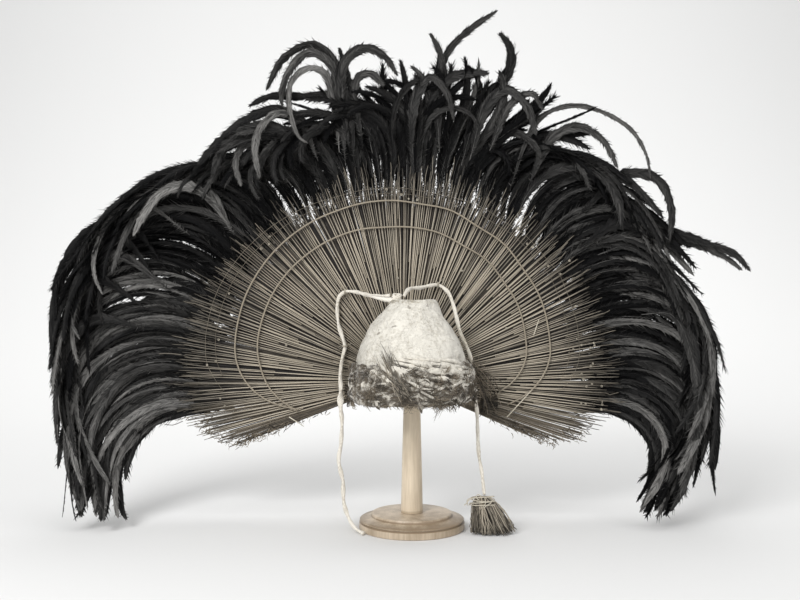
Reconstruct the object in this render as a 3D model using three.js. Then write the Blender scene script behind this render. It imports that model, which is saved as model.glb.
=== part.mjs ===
// A feathered headdress on its turned wooden display stand.
//
// A bell-shaped bark-cloth cap carries a half-round fan of thin sticks behind it. Two cane hoops
// bind the sticks, and plumes of long cock feathers spring from the stick ends and droop at both
// sides. A tie cord is knotted on the crown: one end hangs loose, the other ends in a fibre tassel.
//
// Millimetres, +Z up. The origin is the middle of the stand's underside, and the front faces -Y.

import * as THREE from "three";

// ---------------------------------------------------------------- driving dimensions

const GAP = 0.3; // between pieces that touch

const STAND = {
  baseRadius: 84,
  rimHeight: 15, // the upright edge of the lower disc
  topRadius: 64, // the raised disc
  topHeight: 25,
  stepHeight: 20, // where the slope meets the raised disc
  poleFootRadius: 17.5,
  poleNeckRadius: 12.5,
  crankHeight: 290, // where the pole turns towards the crown
  crankFlare: 5, // how much wider the pole is where it meets the knob
  headRadius: 24, // the plain knob that the crown sits on
  headThickness: 9,
};

const CAP = {
  y: -32, // the cap's axis stands in front of the pole's
  depthRatio: 1.055, // front to back, over side to side
  wall: 3,
  crownHeight: 364,
  rimHeight: 207,
  // [radius, height] of the outside, from the rim to the crown's edge
  flank: [
    [90, 207],
    [89, 235],
    [86, 262],
    [80.5, 286],
    [74, 305],
    [62.5, 325],
    [50, 337],
    [41.5, 352],
    [33.5, 361],
    [30, 364],
  ],
};

const BAND = { bottom: 206, middle: 235, top: 264, thickness: 8 };

// The stalks in the front of the band: x, y, z, half width and half depth along the bundle.
const GRASS_TUFT = [
  [-18, -140, 233, 5, 3],
  [-25, -135, 250, 7, 4.5],
  [-34, -123, 268, 9, 4],
  [-43, -110, 289, 6, 2],
];

const FAN = {
  x: -14, // where the sticks would meet
  z: 228,
  hubRadius: 42,
  outerRadius: 352,
  raggedness: 9, // how far the stick ends vary
  frontY: 75, // front face of the front layer
  backY: 81, // front face of the back layer
  thickness: 3.4,
  ribDepth: 1.2,
  frontFrom: -13, // degrees from +X, the layer's two ends
  frontTo: 193,
  frontSectors: 8,
  ribsPerFrontSector: 9,
  backRadius: 305,
  backFrom: -24,
  backTo: 202,
  backSectors: 6,
  ribsPerBackSector: 7,
  sectorGap: 0.12, // degrees
};

const HOOP = {
  x: -32, // the hoops' own middle
  z: 280,
  thickness: 3,
  y: 71.6,
  outer: [264, 250], // half width, half height
  inner: [225, 208],
  from: -22, // degrees
  to: 206,
  tuckIn: 0.9, // how strongly the ends turn in below the middle
};

const PLUME = {
  rootRadius: 310,
  rootY: 84.8,
  straight: 48, // the length that lies flat behind the sticks
  rootThickness: 12,
  tipThickness: 4,
  edgeThickness: 1.6,
  steps: 11,
  taperFrom: 0.55, // the share of the length where it starts to narrow
  tipWidth: 0.3, // of the strip's full width there
  fill: 0.96, // how much of the space between two streamlines it fills
};

// The feathers' streamlines: where each leaves the fan's edge (degrees), its length, its heading
// at the root and at the tip (degrees, counter-clockwise from +X), and how far its tip leans
// forward.
const STREAMLINES = [
  { at: -10, length: 262, root: 10, tip: -114, lean: 112 },
  { at: -1, length: 340, root: 18, tip: -120, lean: 115 },
  { at: 13, length: 450, root: 16, tip: -117, lean: 108 },
  { at: 25, length: 460, root: 33, tip: -103, lean: 98 },
  { at: 36, length: 380, root: 56, tip: -42, lean: 80 },
  { at: 49, length: 360, root: 74, tip: -57, lean: 70 },
  { at: 61, length: 365, root: 86, tip: -24, lean: 60 },
  { at: 72, length: 280, root: 80, tip: 55, lean: 55 },
  { at: 82, length: 340, root: 98, tip: 44, lean: 50 },
  { at: 93, length: 262, root: 84, tip: 135, lean: 50 },
  { at: 104, length: 285, root: 88, tip: 165, lean: 60 },
  { at: 115, length: 300, root: 98, tip: 200, lean: 70 },
  { at: 127, length: 385, root: 108, tip: 222, lean: 75 },
  { at: 138, length: 475, root: 121, tip: 243, lean: 80 },
  { at: 149, length: 467, root: 128, tip: 257, lean: 90 },
  { at: 160, length: 535, root: 143, tip: 285, lean: 100 },
  { at: 171, length: 480, root: 153, tip: 288, lean: 112 },
  { at: 182, length: 385, root: 160, tip: 284, lean: 150 },
  { at: 191, length: 255, root: 168, tip: 262, lean: 120 },
];

const LASHINGS = {
  left: { x: -101, middle: 212, halfWidth: 11, halfHeight: 15 },
  right: { x: 129, middle: 190, halfWidth: 17, halfHeight: 21 },
};
const LASHING_HALF_DEPTH = 13;
// How the lashings swell: [height over the half height, girth over the greatest].
const LASHING_SWELL = [
  [-1, 0.3],
  [-0.5, 0.85],
  [0, 1],
  [0.5, 0.85],
  [1, 0.3],
];

const KNOT = { x: -24, y: -12, z: 369.8, length: 19, width: 13, height: 10.5 };

const CORD_RADIUS = 3.2;
const TIE = { radius: 5.2, thickness: 1.7 }; // the thread loops that hold the cords to the sticks
const TIES = {
  left_tie_upper: { x: -111, z: 377.5, axis: "x" },
  left_tie_lower: { x: -111.5, z: 287, axis: "z" },
  right_tie: { x: 44.5, z: 389, axis: "x" },
};
const TIED_Y = 68.6; // a cord's distance back where a loop holds it

// From the knot to the loose end on the ground beside the base.
const LEFT_CORD = [
  [-35, -10, 371],
  [-47, -2, 370],
  [-59, 9, 370],
  [-71, 22, 372],
  [-83, 40, 375],
  [-96, 58, 378],
  [-111, TIED_Y, 377.5],
  [-121, TIED_Y, 369],
  [-124, TIED_Y, 347],
  [-121.5, TIED_Y, 322],
  [-116, TIED_Y, 304],
  [-111, TIED_Y, 287],
  [-114, 67, 272],
  [-118, 61, 247],
  [-117, 52, 215],
  [-117, 44, 191],
  [-114, 35, 167],
  [-114, 28, 148],
  [-115, 20, 128],
  [-118, 12, 106],
  [-114, 5, 88],
  [-110, 0, 73],
  [-109.5, -6, 57],
  [-108, -13, 43],
  [-103, -22, 28],
  [-96, -31, 16],
  [-88, -41, 8],
  [-75, -52, 3.6],
];

// From the knot, along the fan above the crown and down past the cap's side to the tassel.
const RIGHT_CORD = [
  [-12.5, -9, 370.5],
  [-8, 9, 378],
  [-1, 27, 383],
  [14, 44, 384],
  [31, 61, 388],
  [44.5, TIED_Y, 389],
  [54, 65, 384],
  [62.5, 56, 374],
  [68.5, 46, 357],
  [73, 37, 338],
  [76, 31, 323],
  [80.5, 25, 307],
  [86.5, 20, 294],
  [92, 15, 281],
  [95, 12, 270],
  [98, 8, 256],
  [100, 6, 239],
  [101, 0, 212],
  [103.5, -6, 188],
  [104, -14, 158],
  [105, -26, 120],
  [108, -32, 101],
  [110.5, -38, 80],
  [111.5, -41, 66],
  [112, -42, 61],
];

const TASSEL = {
  x: 108.5,
  y: -42,
  top: 60.3,
  bottom: 0.8,
  topHalfWidth: 17,
  topHalfDepth: 11,
  footHalfWidth: 36,
  footHalfDepth: 18,
  footShift: 17, // the foot spreads to the right
};

// ---------------------------------------------------------------- materials

const material = (color, roughness) =>
  new THREE.MeshStandardMaterial({ color, roughness, metalness: 0 });

const WOOD = material(0x9a8a74, 0.45);
const BARK_CLOTH = material(0xd9d3c6, 0.9);
const FRAYED_BARK = material(0x8f8676, 0.95);
const STICK = material(0x6f675a, 0.7);
const DARK_STICK = material(0x4a443b, 0.8);
const CANE = material(0x8b8272, 0.6);
const FEATHER = material(0x232326, 0.45);
const CORD = material(0xcac4b5, 0.9);
const FIBRE = material(0x4d463b, 0.85);

// ---------------------------------------------------------------- geometry helpers

const radians = THREE.MathUtils.degToRad;
const lerp = THREE.MathUtils.lerp;

const group = new THREE.Group();

/** Adds a named piece to the headdress. */
function add(name, geometry, finish) {
  const mesh = new THREE.Mesh(geometry, finish);
  mesh.name = name;
  group.add(mesh);
  return mesh;
}

/** A geometry from points and triangles, turned to face outwards. */
function solid(points, triangles) {
  let volume = 0;
  for (const [a, b, c] of triangles)
    volume += points[a].dot(points[b].clone().cross(points[c])) / 6;
  const faces = volume < 0 ? triangles.map(([a, b, c]) => [a, c, b]) : triangles;
  return new THREE.BufferGeometry().setFromPoints(points).setIndex(faces.flat());
}

/** A closed slab between two grids of points: front(i, j) and back(i, j), i to nu and j to nv. */
function slab(nu, nv, front, back) {
  const points = [];
  for (const side of [front, back])
    for (let j = 0; j <= nv; j++) for (let i = 0; i <= nu; i++) points.push(side(i, j));
  const half = (nu + 1) * (nv + 1);
  const at = (side, i, j) => side * half + j * (nu + 1) + i;
  const triangles = [];
  const quad = (a, b, c, d) => triangles.push([a, b, c], [a, c, d]);
  for (let j = 0; j < nv; j++)
    for (let i = 0; i < nu; i++) {
      quad(at(0, i, j), at(0, i + 1, j), at(0, i + 1, j + 1), at(0, i, j + 1));
      quad(at(1, i, j), at(1, i, j + 1), at(1, i + 1, j + 1), at(1, i + 1, j));
    }
  for (let i = 0; i < nu; i++) {
    quad(at(0, i, 0), at(1, i, 0), at(1, i + 1, 0), at(0, i + 1, 0));
    quad(at(0, i, nv), at(0, i + 1, nv), at(1, i + 1, nv), at(1, i, nv));
  }
  for (let j = 0; j < nv; j++) {
    quad(at(0, 0, j), at(0, 0, j + 1), at(1, 0, j + 1), at(1, 0, j));
    quad(at(0, nu, j), at(1, nu, j), at(1, nu, j + 1), at(0, nu, j + 1));
  }
  return solid(points, triangles);
}

/** A closed body through rings of equally many points, with a flat end at each side. */
function loft(rings) {
  const n = rings[0].length;
  const points = rings.flat();
  const triangles = [];
  for (let k = 0; k < rings.length - 1; k++)
    for (let i = 0; i < n; i++) {
      const [a, b] = [k * n + i, k * n + ((i + 1) % n)];
      triangles.push([a, b, b + n], [a, b + n, a + n]);
    }
  const last = (rings.length - 1) * n;
  for (let i = 1; i < n - 1; i++)
    triangles.push([0, i + 1, i], [last, last + i, last + i + 1]);
  return solid(points, triangles);
}

/** A level ellipse of points, as one ring of a loft. */
function ellipse(x, y, z, halfWidth, halfDepth, sides) {
  return Array.from({ length: sides }, (_, i) => {
    const turn = (2 * Math.PI * i) / sides;
    return new THREE.Vector3(x + halfWidth * Math.cos(turn), y + halfDepth * Math.sin(turn), z);
  });
}

/** A body turned about the Z axis from a [radius, height] profile. */
function turned(profile, sides) {
  const points = profile.map(([radius, height]) => new THREE.Vector2(radius, height));
  return new THREE.LatheGeometry(points, sides).rotateX(Math.PI / 2);
}

/** A round rod that follows a curve. */
function rod(curve, radius, steps, sides) {
  const section = new THREE.Shape(
    Array.from({ length: sides }, (_, i) => {
      const turn = (2 * Math.PI * i) / sides;
      return new THREE.Vector2(radius * Math.cos(turn), radius * Math.sin(turn));
    }),
  );
  return new THREE.ExtrudeGeometry(section, { steps, extrudePath: curve, bevelEnabled: false });
}

/** A point of the fan's plane, from the place where the sticks would meet. */
function fanPoint(degrees, radius, y) {
  const turn = radians(degrees);
  return new THREE.Vector3(FAN.x + radius * Math.cos(turn), y, FAN.z + radius * Math.sin(turn));
}

// ---------------------------------------------------------------- the stand

function makeStand() {
  const { baseRadius, rimHeight, topRadius, topHeight, stepHeight } = STAND;
  const base = [
    [0, 0],
    [baseRadius, 0],
    [baseRadius, rimHeight],
    [baseRadius - 2, rimHeight + 1.5],
    [topRadius + 3, stepHeight - 1],
    [topRadius, stepHeight],
    [topRadius, topHeight - 1],
    [topRadius - 1, topHeight],
    [0, topHeight],
  ];
  add("stand_base", turned(base, 40), WOOD);

  // Up inside the cap the pole cranks forward to a plain knob under the middle of the crown.
  const { poleFootRadius, poleNeckRadius, crankHeight, crankFlare, headRadius, headThickness } =
    STAND;
  const headTop = CAP.crownHeight - CAP.wall - GAP;
  const pole = [
    [0, topHeight + GAP, poleFootRadius],
    [0, CAP.rimHeight, poleNeckRadius],
    [0, crankHeight, poleNeckRadius],
    [0.4 * CAP.y, headTop - 3 * headThickness, poleNeckRadius + crankFlare],
    [0.9 * CAP.y, headTop - headThickness, headRadius],
    [0.95 * CAP.y, headTop, headRadius],
  ].map(([y, z, radius]) => ellipse(0, y, z, radius, radius, 20));
  add("stand_pole", loft(pole), WOOD);
}

// ---------------------------------------------------------------- the cap

/** The cap's outside radius at a height. */
function flankRadius(height) {
  const i = CAP.flank.findIndex(([, z], k) => k > 0 && height <= z);
  const [[r0, z0], [r1, z1]] = [CAP.flank[i - 1], CAP.flank[i]];
  return lerp(r0, r1, (height - z0) / (z1 - z0));
}

/** Sets a piece on the cap's axis, deeper from front to back than it is wide. */
function placeOnCap(mesh) {
  mesh.scale.y = CAP.depthRatio;
  mesh.position.y = CAP.y;
}

function makeCap() {
  const inside = CAP.flank
    .slice(0, -1)
    .map(([radius, z]) => [radius - CAP.wall, Math.min(z, CAP.crownHeight - CAP.wall)]);
  const ceiling = CAP.crownHeight - CAP.wall;
  const shell = [
    [0, ceiling],
    [CAP.flank.at(-2)[0] - CAP.wall - 2, ceiling],
    ...inside.slice(0, -1).reverse(),
    ...CAP.flank,
    [0, CAP.crownHeight],
  ];
  placeOnCap(add("cap_shell", turned(shell, 32), BARK_CLOTH));

  const { bottom, middle, top, thickness } = BAND;
  const inner = (z) => flankRadius(Math.max(z, CAP.rimHeight)) + GAP;
  const band = [
    [inner(top), top],
    [inner(middle), middle],
    [inner(bottom), bottom],
    [inner(bottom) + 0.55 * thickness, bottom - 1],
    [inner(bottom) + thickness, bottom + 9],
    [inner(middle) + thickness, middle],
    [inner(top) + 0.6 * thickness, top - 5],
    [inner(top), top],
  ];
  placeOnCap(add("cap_band", turned(band, 32), FRAYED_BARK));
}

/** The stalks pushed into the front of the band, as one leaning bundle. */
function makeGrassTuft() {
  const rings = GRASS_TUFT.map(([x, y, z, halfWidth, halfDepth]) =>
    ellipse(x, y, z, halfWidth, halfDepth, 8),
  );
  add("grass_tuft", loft(rings), STICK);
}

/** The dark fibre lashings that tie the fan's lower corners beside the rim. */
function makeLashings() {
  const y = FAN.frontY - GAP - LASHING_HALF_DEPTH;
  for (const [side, { x, middle, halfWidth, halfHeight }] of Object.entries(LASHINGS)) {
    const rings = LASHING_SWELL.map(([up, girth]) =>
      ellipse(x, y, middle + up * halfHeight, girth * halfWidth, girth * LASHING_HALF_DEPTH, 10),
    );
    add(`lashing_${side}`, loft(rings), FIBRE);
  }
}

// ---------------------------------------------------------------- the fan of sticks

/** One sector of side-by-side sticks: a ribbed plate with ragged outer ends. */
function stickSector(from, to, ribs, outerRadius, y) {
  const columns = 2 * ribs;
  const angle = (i) => lerp(from, to, i / columns);
  const reach = (i) => outerRadius - FAN.raggedness * Math.abs(Math.sin(2.3 * i + from));
  const radius = (i, j) => (j ? reach(i) : FAN.hubRadius + GAP);
  return slab(
    columns,
    1,
    (i, j) => fanPoint(angle(i), radius(i, j), y + (i % 2 ? 0 : FAN.ribDepth)),
    (i, j) => fanPoint(angle(i), radius(i, j), y + FAN.thickness),
  );
}

/** A layer of sticks, as named sectors from right to left. */
function makeStickLayer(name, from, to, sectors, ribs, outerRadius, y, finish) {
  const span = (to - from) / sectors;
  for (let k = 0; k < sectors; k++) {
    const start = from + k * span + FAN.sectorGap;
    const end = from + (k + 1) * span - FAN.sectorGap;
    add(`${name}_${k + 1}`, stickSector(start, end, ribs, outerRadius, y), finish);
  }
}

/** The wound boss that the sticks' inner ends are bound into. */
function makeHub() {
  const rimRadius = flankRadius(CAP.rimHeight) + GAP + BAND.thickness;
  const front = CAP.y + CAP.depthRatio * rimRadius + GAP;
  const back = FAN.backY + FAN.thickness;
  const r = FAN.hubRadius;
  const profile = [
    [0, front],
    [r - 6, front],
    [r, front + 3],
    [r, back - 2],
    [r - 6, back + 5],
    [0, back + 7],
  ];
  const points = profile.map(([radius, y]) => new THREE.Vector2(radius, y));
  const hub = add("fan_hub", new THREE.LatheGeometry(points, 24), FIBRE);
  hub.position.set(FAN.x, 0, FAN.z);
}

/** A cane hoop that arches over the sticks and tucks in at its two lower ends. */
function makeHoop(name, [halfWidth, halfHeight]) {
  class HoopCurve extends THREE.Curve {
    getPoint(t, target = new THREE.Vector3()) {
      const turn = radians(lerp(HOOP.from, HOOP.to, t));
      const below = Math.max(0, -Math.sin(turn));
      const draw = 1 - HOOP.tuckIn * below * below;
      return target.set(
        HOOP.x + halfWidth * draw * Math.cos(turn),
        HOOP.y,
        HOOP.z + halfHeight * draw * Math.sin(turn),
      );
    }
  }
  add(name, rod(new HoopCurve(), HOOP.thickness / 2, 44, 6), CANE);
}

function makeFan() {
  const { frontFrom, frontTo, frontSectors, ribsPerFrontSector, outerRadius, frontY } = FAN;
  const { backFrom, backTo, backSectors, ribsPerBackSector, backRadius, backY } = FAN;
  makeHub();
  makeStickLayer(
    "front_sticks",
    frontFrom,
    frontTo,
    frontSectors,
    ribsPerFrontSector,
    outerRadius,
    frontY,
    STICK,
  );
  makeStickLayer(
    "back_sticks",
    backFrom,
    backTo,
    backSectors,
    ribsPerBackSector,
    backRadius,
    backY,
    DARK_STICK,
  );
  makeHoop("outer_hoop", HOOP.outer);
  makeHoop("inner_hoop", HOOP.inner);
}

// ---------------------------------------------------------------- the plumes

/** How far a feather has turned from its root heading, at a share t of its length. */
function bend(t) {
  return THREE.MathUtils.smoothstep(1.15 * t, 0, 1);
}

/** The points along a streamline, PLUME.steps + 1 of them. */
function streamline({ at, length, root, tip, lean }) {
  const FINE = 8; // short steps between two points
  const step = length / (PLUME.steps * FINE);
  const point = fanPoint(at, PLUME.rootRadius, PLUME.rootY);
  const points = [point.clone()];
  for (let k = 0; k < PLUME.steps * FINE; k++) {
    const t = (k + 0.5) / (PLUME.steps * FINE);
    const heading = radians(lerp(root, tip, bend(t)));
    point.x += step * Math.cos(heading);
    point.z += step * Math.sin(heading);
    if ((k + 1) % FINE) continue;
    const free = Math.max(0, (k + 1) * step - PLUME.straight) / (length - PLUME.straight);
    points.push(point.clone().setY(PLUME.rootY - lean * free ** 1.5));
  }
  return points;
}

/**
 * The outer form of the feathers between two streamlines: a leaf that narrows to its tip, thick
 * along its middle and thin at its edges.
 */
function plume(right, left) {
  const { steps, rootThickness, tipThickness, edgeThickness, taperFrom, tipWidth, fill } = PLUME;
  const [a, b] = [streamline(right), streamline(left)];
  const half = (j) => {
    const late = Math.max(0, (j / steps - taperFrom) / (1 - taperFrom));
    return 0.5 * fill * (1 - (1 - tipWidth) * late ** 1.5);
  };
  const across = (i, j) => a[j].clone().lerp(b[j], 0.5 + (i - 1) * half(j));
  const thick = (i, j) => (i === 1 ? lerp(rootThickness, tipThickness, j / steps) : edgeThickness);
  const broadside = (j) => {
    const [before, after] = [Math.max(0, j - 1), Math.min(steps, j + 1)];
    const along = a[after].clone().add(b[after]).sub(a[before]).sub(b[before]);
    return b[j].clone().sub(a[j]).cross(along).normalize();
  };
  const shifted = (i, j, side) =>
    across(i, j).addScaledVector(broadside(j), (side * thick(i, j)) / 2);
  return slab(
    2,
    steps,
    (i, j) => shifted(i, j, -1),
    (i, j) => shifted(i, j, 1),
  );
}

function makePlumes() {
  for (let k = 0; k < STREAMLINES.length - 1; k++)
    add(`plume_${String(k + 1).padStart(2, "0")}`, plume(STREAMLINES[k], STREAMLINES[k + 1]), FEATHER);
}

// ---------------------------------------------------------------- cords and tassel

const curveThrough = (route) =>
  new THREE.CatmullRomCurve3(
    route.map((place) => new THREE.Vector3(...place)),
    false,
    "centripetal",
  );

/** A thread loop round a cord that runs straight up (axis "z") or sideways (axis "x"). */
function addTie(name, x, z, axis) {
  const loop = new THREE.TorusGeometry(TIE.radius, TIE.thickness / 2, 6, 14);
  if (axis === "x") loop.rotateY(Math.PI / 2);
  add(name, loop, CORD).position.set(x, TIED_Y, z);
}

function makeCords() {
  const knot = new THREE.SphereGeometry(0.5, 12, 8).scale(KNOT.length, KNOT.width, KNOT.height);
  add("cord_knot", knot, CORD).position.set(KNOT.x, KNOT.y, KNOT.z);
  add("left_cord", rod(curveThrough(LEFT_CORD), CORD_RADIUS, 60, 8), CORD);
  add("right_cord", rod(curveThrough(RIGHT_CORD), CORD_RADIUS, 50, 8), CORD);
  for (const [name, { x, z, axis }] of Object.entries(TIES)) addTie(name, x, z, axis);
}

function makeTassel() {
  const { x, y, top, bottom, topHalfWidth, topHalfDepth, footHalfWidth, footHalfDepth, footShift } =
    TASSEL;
  const rings = [0, 0.35, 0.8, 1].map((t) => {
    const spread = t ** 0.8;
    return ellipse(
      lerp(x, x + footShift, spread),
      y,
      lerp(top, bottom, t),
      lerp(topHalfWidth, footHalfWidth, spread),
      lerp(topHalfDepth, footHalfDepth, spread),
      16,
    );
  });
  add("tassel", loft(rings), FIBRE);
}

// ---------------------------------------------------------------- assembly

makeStand();
makeCap();
makeGrassTuft();
makeLashings();
makeFan();
makePlumes();
makeCords();
makeTassel();

export default group;
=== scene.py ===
"""A feathered headdress on its turned display stand.

A bark-cloth cap stands before a half-round fan of split sticks, bound by two cane hoops. Long cock
feathers spring from the stick ends and droop at both sides. A tie cord is knotted at the crown.
"""

import logging
import math
from collections.abc import Sequence
from dataclasses import dataclass, field
from enum import Enum
from typing import Any

import bpy
import numpy as np
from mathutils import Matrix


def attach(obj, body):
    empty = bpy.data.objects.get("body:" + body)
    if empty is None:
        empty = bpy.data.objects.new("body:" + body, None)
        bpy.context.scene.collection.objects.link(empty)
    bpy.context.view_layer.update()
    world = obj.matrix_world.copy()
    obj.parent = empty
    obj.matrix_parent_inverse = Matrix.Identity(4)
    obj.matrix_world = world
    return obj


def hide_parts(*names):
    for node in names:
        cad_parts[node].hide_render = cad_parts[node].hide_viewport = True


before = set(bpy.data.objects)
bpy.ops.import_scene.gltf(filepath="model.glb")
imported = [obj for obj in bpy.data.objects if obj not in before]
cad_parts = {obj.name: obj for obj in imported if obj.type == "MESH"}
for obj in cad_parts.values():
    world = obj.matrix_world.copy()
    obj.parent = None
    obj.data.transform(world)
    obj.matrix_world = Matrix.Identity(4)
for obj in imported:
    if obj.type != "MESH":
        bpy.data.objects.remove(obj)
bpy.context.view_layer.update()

LOG = logging.getLogger("headdress")

Colour = tuple[float, float, float]
Point = tuple[float, float, float]
MM = 0.001


class Section(Enum):
    """How many sides a strand has."""

    HAIR = 3
    BLADE = 4
    STICK = 5
    CORD = 12


# ---- shader maths


class Value:
    """A shader socket that takes part in ordinary sums."""

    def __init__(self, palette: "Palette", socket: bpy.types.NodeSocket) -> None:
        """Wraps an output socket of a palette's node tree."""
        self.palette = palette
        self.socket = socket

    def _sum(self, operation: str, first: Any, second: Any = 0.0) -> "Value":
        """Adds one Math node for two operands, each a Value or a number."""
        node = self.palette.node("ShaderNodeMath", {"operation": operation}, {0: first, 1: second})
        return Value(self.palette, node.outputs[0])

    def __add__(self, other: Any) -> "Value":
        """self + other."""
        return self._sum("ADD", self, other)

    __radd__ = __add__

    def __mul__(self, other: Any) -> "Value":
        """self * other."""
        return self._sum("MULTIPLY", self, other)

    __rmul__ = __mul__

    def __sub__(self, other: Any) -> "Value":
        """self - other."""
        return self._sum("SUBTRACT", self, other)

    def __rsub__(self, other: Any) -> "Value":
        """other - self."""
        return self._sum("SUBTRACT", other, self)

    def sine(self) -> "Value":
        """The sine of the value."""
        return self._sum("SINE", self)

    def size(self) -> "Value":
        """The value without its sign."""
        return self._sum("ABSOLUTE", self)

    def step(self, low: float, high: float) -> "Value":
        """A smooth step of the value.

        Args:
            low: Where the step starts, at 0.
            high: Where it ends, at 1.

        Returns:
            The stepped value.
        """
        node = self.palette.node(
            "ShaderNodeMapRange", {"interpolation_type": "SMOOTHSTEP"},
            {"Value": self, "From Min": low, "From Max": high},
        )
        return Value(self.palette, node.outputs[0])


class Palette:
    """Builds one material's nodes."""

    def __init__(self, name: str) -> None:
        """Starts a material.

        Args:
            name: The material's name.
        """
        self.material = bpy.data.materials.new(name)
        self.material.use_nodes = True
        self.nodes = self.material.node_tree.nodes
        self.links = self.material.node_tree.links
        self.nodes.clear()

    def node(
        self, kind: str, settings: dict[str, Any] | None = None, sockets: dict[Any, Any] | None = None
    ) -> bpy.types.Node:
        """Adds a node.

        Args:
            kind: The node's type.
            settings: Properties to set first.
            sockets: Input sockets by name or number, each a Value or a constant.

        Returns:
            The node.
        """
        made = self.nodes.new(kind)
        for key, setting in (settings or {}).items():
            setattr(made, key, setting)
        for key, source in (sockets or {}).items():
            if isinstance(source, Value):
                self.links.new(source.socket, made.inputs[key])
            else:
                made.inputs[key].default_value = source
        return made

    def coordinates(self, kind: str = "Object") -> Value:
        """The surface's coordinates, "Object" or "UV"."""
        return Value(self, self.node("ShaderNodeTexCoord").outputs[kind])

    def tint(self) -> Value:
        """The lightness, 0 to 1, that each strand carries."""
        node = self.node("ShaderNodeAttribute", {"attribute_name": "tint"})
        return Value(self, node.outputs["Fac"])

    def axes(self, vector: Value) -> list[Value]:
        """Splits a vector into its three parts."""
        node = self.node("ShaderNodeSeparateXYZ", sockets={0: vector})
        return [Value(self, output) for output in node.outputs]

    def join(self, x: Any, y: Any, z: Any) -> Value:
        """Joins three parts into a vector."""
        node = self.node("ShaderNodeCombineXYZ", sockets={0: x, 1: y, 2: z})
        return Value(self, node.outputs[0])

    def noise(
        self, vector: Value, scale: float, detail: float, stretch: Point = (1, 1, 1),
        roughness: float = 0.55,
    ) -> Value:
        """A noise pattern.

        Args:
            vector: The coordinates it reads.
            scale: Its scale.
            detail: Its octaves.
            stretch: How many times finer it is along each axis.
            roughness: How strong the fine octaves are.

        Returns:
            The pattern, about 0.5 on average.
        """
        placed = self.node("ShaderNodeMapping", sockets={"Vector": vector, "Scale": stretch})
        node = self.node(
            "ShaderNodeTexNoise",
            sockets={
                "Vector": Value(self, placed.outputs[0]), "Scale": scale, "Detail": detail,
                "Roughness": roughness,
            },
        )
        return Value(self, node.outputs["Fac"])

    def mix(self, factor: Any, first: Any, second: Any) -> Value:
        """Blends two colours.

        Args:
            factor: The second colour's share.
            first: The first colour, a Value or a colour.
            second: The second colour.

        Returns:
            The blend.
        """

        def paint(colour: Any) -> Any:
            """A colour with its alpha."""
            return colour if isinstance(colour, Value) else (*colour, 1)

        node = self.node(
            "ShaderNodeMix", {"data_type": "RGBA"}, {0: factor, 6: paint(first), 7: paint(second)}
        )
        return Value(self, node.outputs[2])

    def bump(self, height: Value, depth: float, strength: float) -> Value:
        """Turns a height into a normal.

        Args:
            height: The height, about 0 to 1.
            depth: What a height of 1 stands for, in metres.
            strength: How strongly it shows.

        Returns:
            The normal.
        """
        node = self.node(
            "ShaderNodeBump", sockets={"Height": height, "Distance": depth, "Strength": strength}
        )
        return Value(self, node.outputs[0])

    def finish(self, **sockets: Any) -> bpy.types.Material:
        """Ends the material in a Principled shader.

        Args:
            sockets: The shader's sockets, with underscores for spaces.

        Returns:
            The material.
        """
        named = {key.replace("_", " "): value for key, value in sockets.items()}
        shader = self.node("ShaderNodeBsdfPrincipled", sockets=named)
        self.node("ShaderNodeOutputMaterial", sockets={"Surface": Value(self, shader.outputs[0])})
        return self.material


# ---- finishes


@dataclass(frozen=True)
class StrandFinish:
    """Sticks, cane and fibres: streaked along their length, each with its own lightness."""

    name: str
    dark: Colour
    light: Colour
    roughness: float = 0.6
    streak: float = 0.35
    depth: float = 0.0004
    fineness: float = 60

    def material(self) -> bpy.types.Material:
        """Builds the material.

        Returns:
            The material.
        """
        palette = Palette(self.name)
        uv = palette.coordinates("UV")
        grain = palette.noise(uv, self.fineness, 4, (0.12, 1, 1))
        patches = palette.noise(palette.coordinates(), 45, 3)
        lightness = palette.tint() + (grain - 0.5) * self.streak + (patches - 0.5) * self.streak
        colour = palette.mix(lightness.step(-0.05, 1.05), self.dark, self.light)
        return palette.finish(
            Base_Color=colour, Roughness=(grain - 0.5) * 0.3 + self.roughness,
            Normal=palette.bump(grain, self.depth, 0.6),
        )


@dataclass(frozen=True)
class FeatherFinish:
    """Black vanes with slanting, uneven barbs and a soft sheen; one half of each vane gets a painted
    highlight.
    """

    name: str = "cock feather"
    dark: Colour = (0.0018, 0.0018, 0.0021)
    light: Colour = (0.26, 0.253, 0.242)
    barbs_per_metre: float = 520
    slant: float = 9.5

    def material(self) -> bpy.types.Material:
        """Builds the material.

        Returns:
            The material.
        """
        palette = Palette(self.name)
        across, along, _ = palette.axes(palette.coordinates("UV"))
        out = (across - 0.5).size() * 2
        place = palette.join(along * self.barbs_per_metre - out * self.slant, across * 1.2, 0.0)
        barbs = palette.noise(place, 1.0, 3, roughness=0.6).step(0.3, 0.7)
        lie = palette.join(along * 42 - out * 3.5, across * 1.5, palette.tint() * 40)
        wear = palette.noise(lie, 1.0, 3)
        play = (barbs - 0.5) * 0.9 + (wear - 0.5) * 2.6 + 1.0
        # Painted highlight: the vane half with the lower UV across is painted lighter.
        lightness = (palette.tint() + 0.02) * play + (0.5 - across) * 0.08
        return palette.finish(
            Base_Color=palette.mix(lightness.step(0.0, 1.0), self.dark, self.light),
            Roughness=0.5 - barbs * 0.14, Specular_IOR_Level=0.07,
            Normal=palette.bump(barbs, 0.0008, 0.45),
        )


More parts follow.
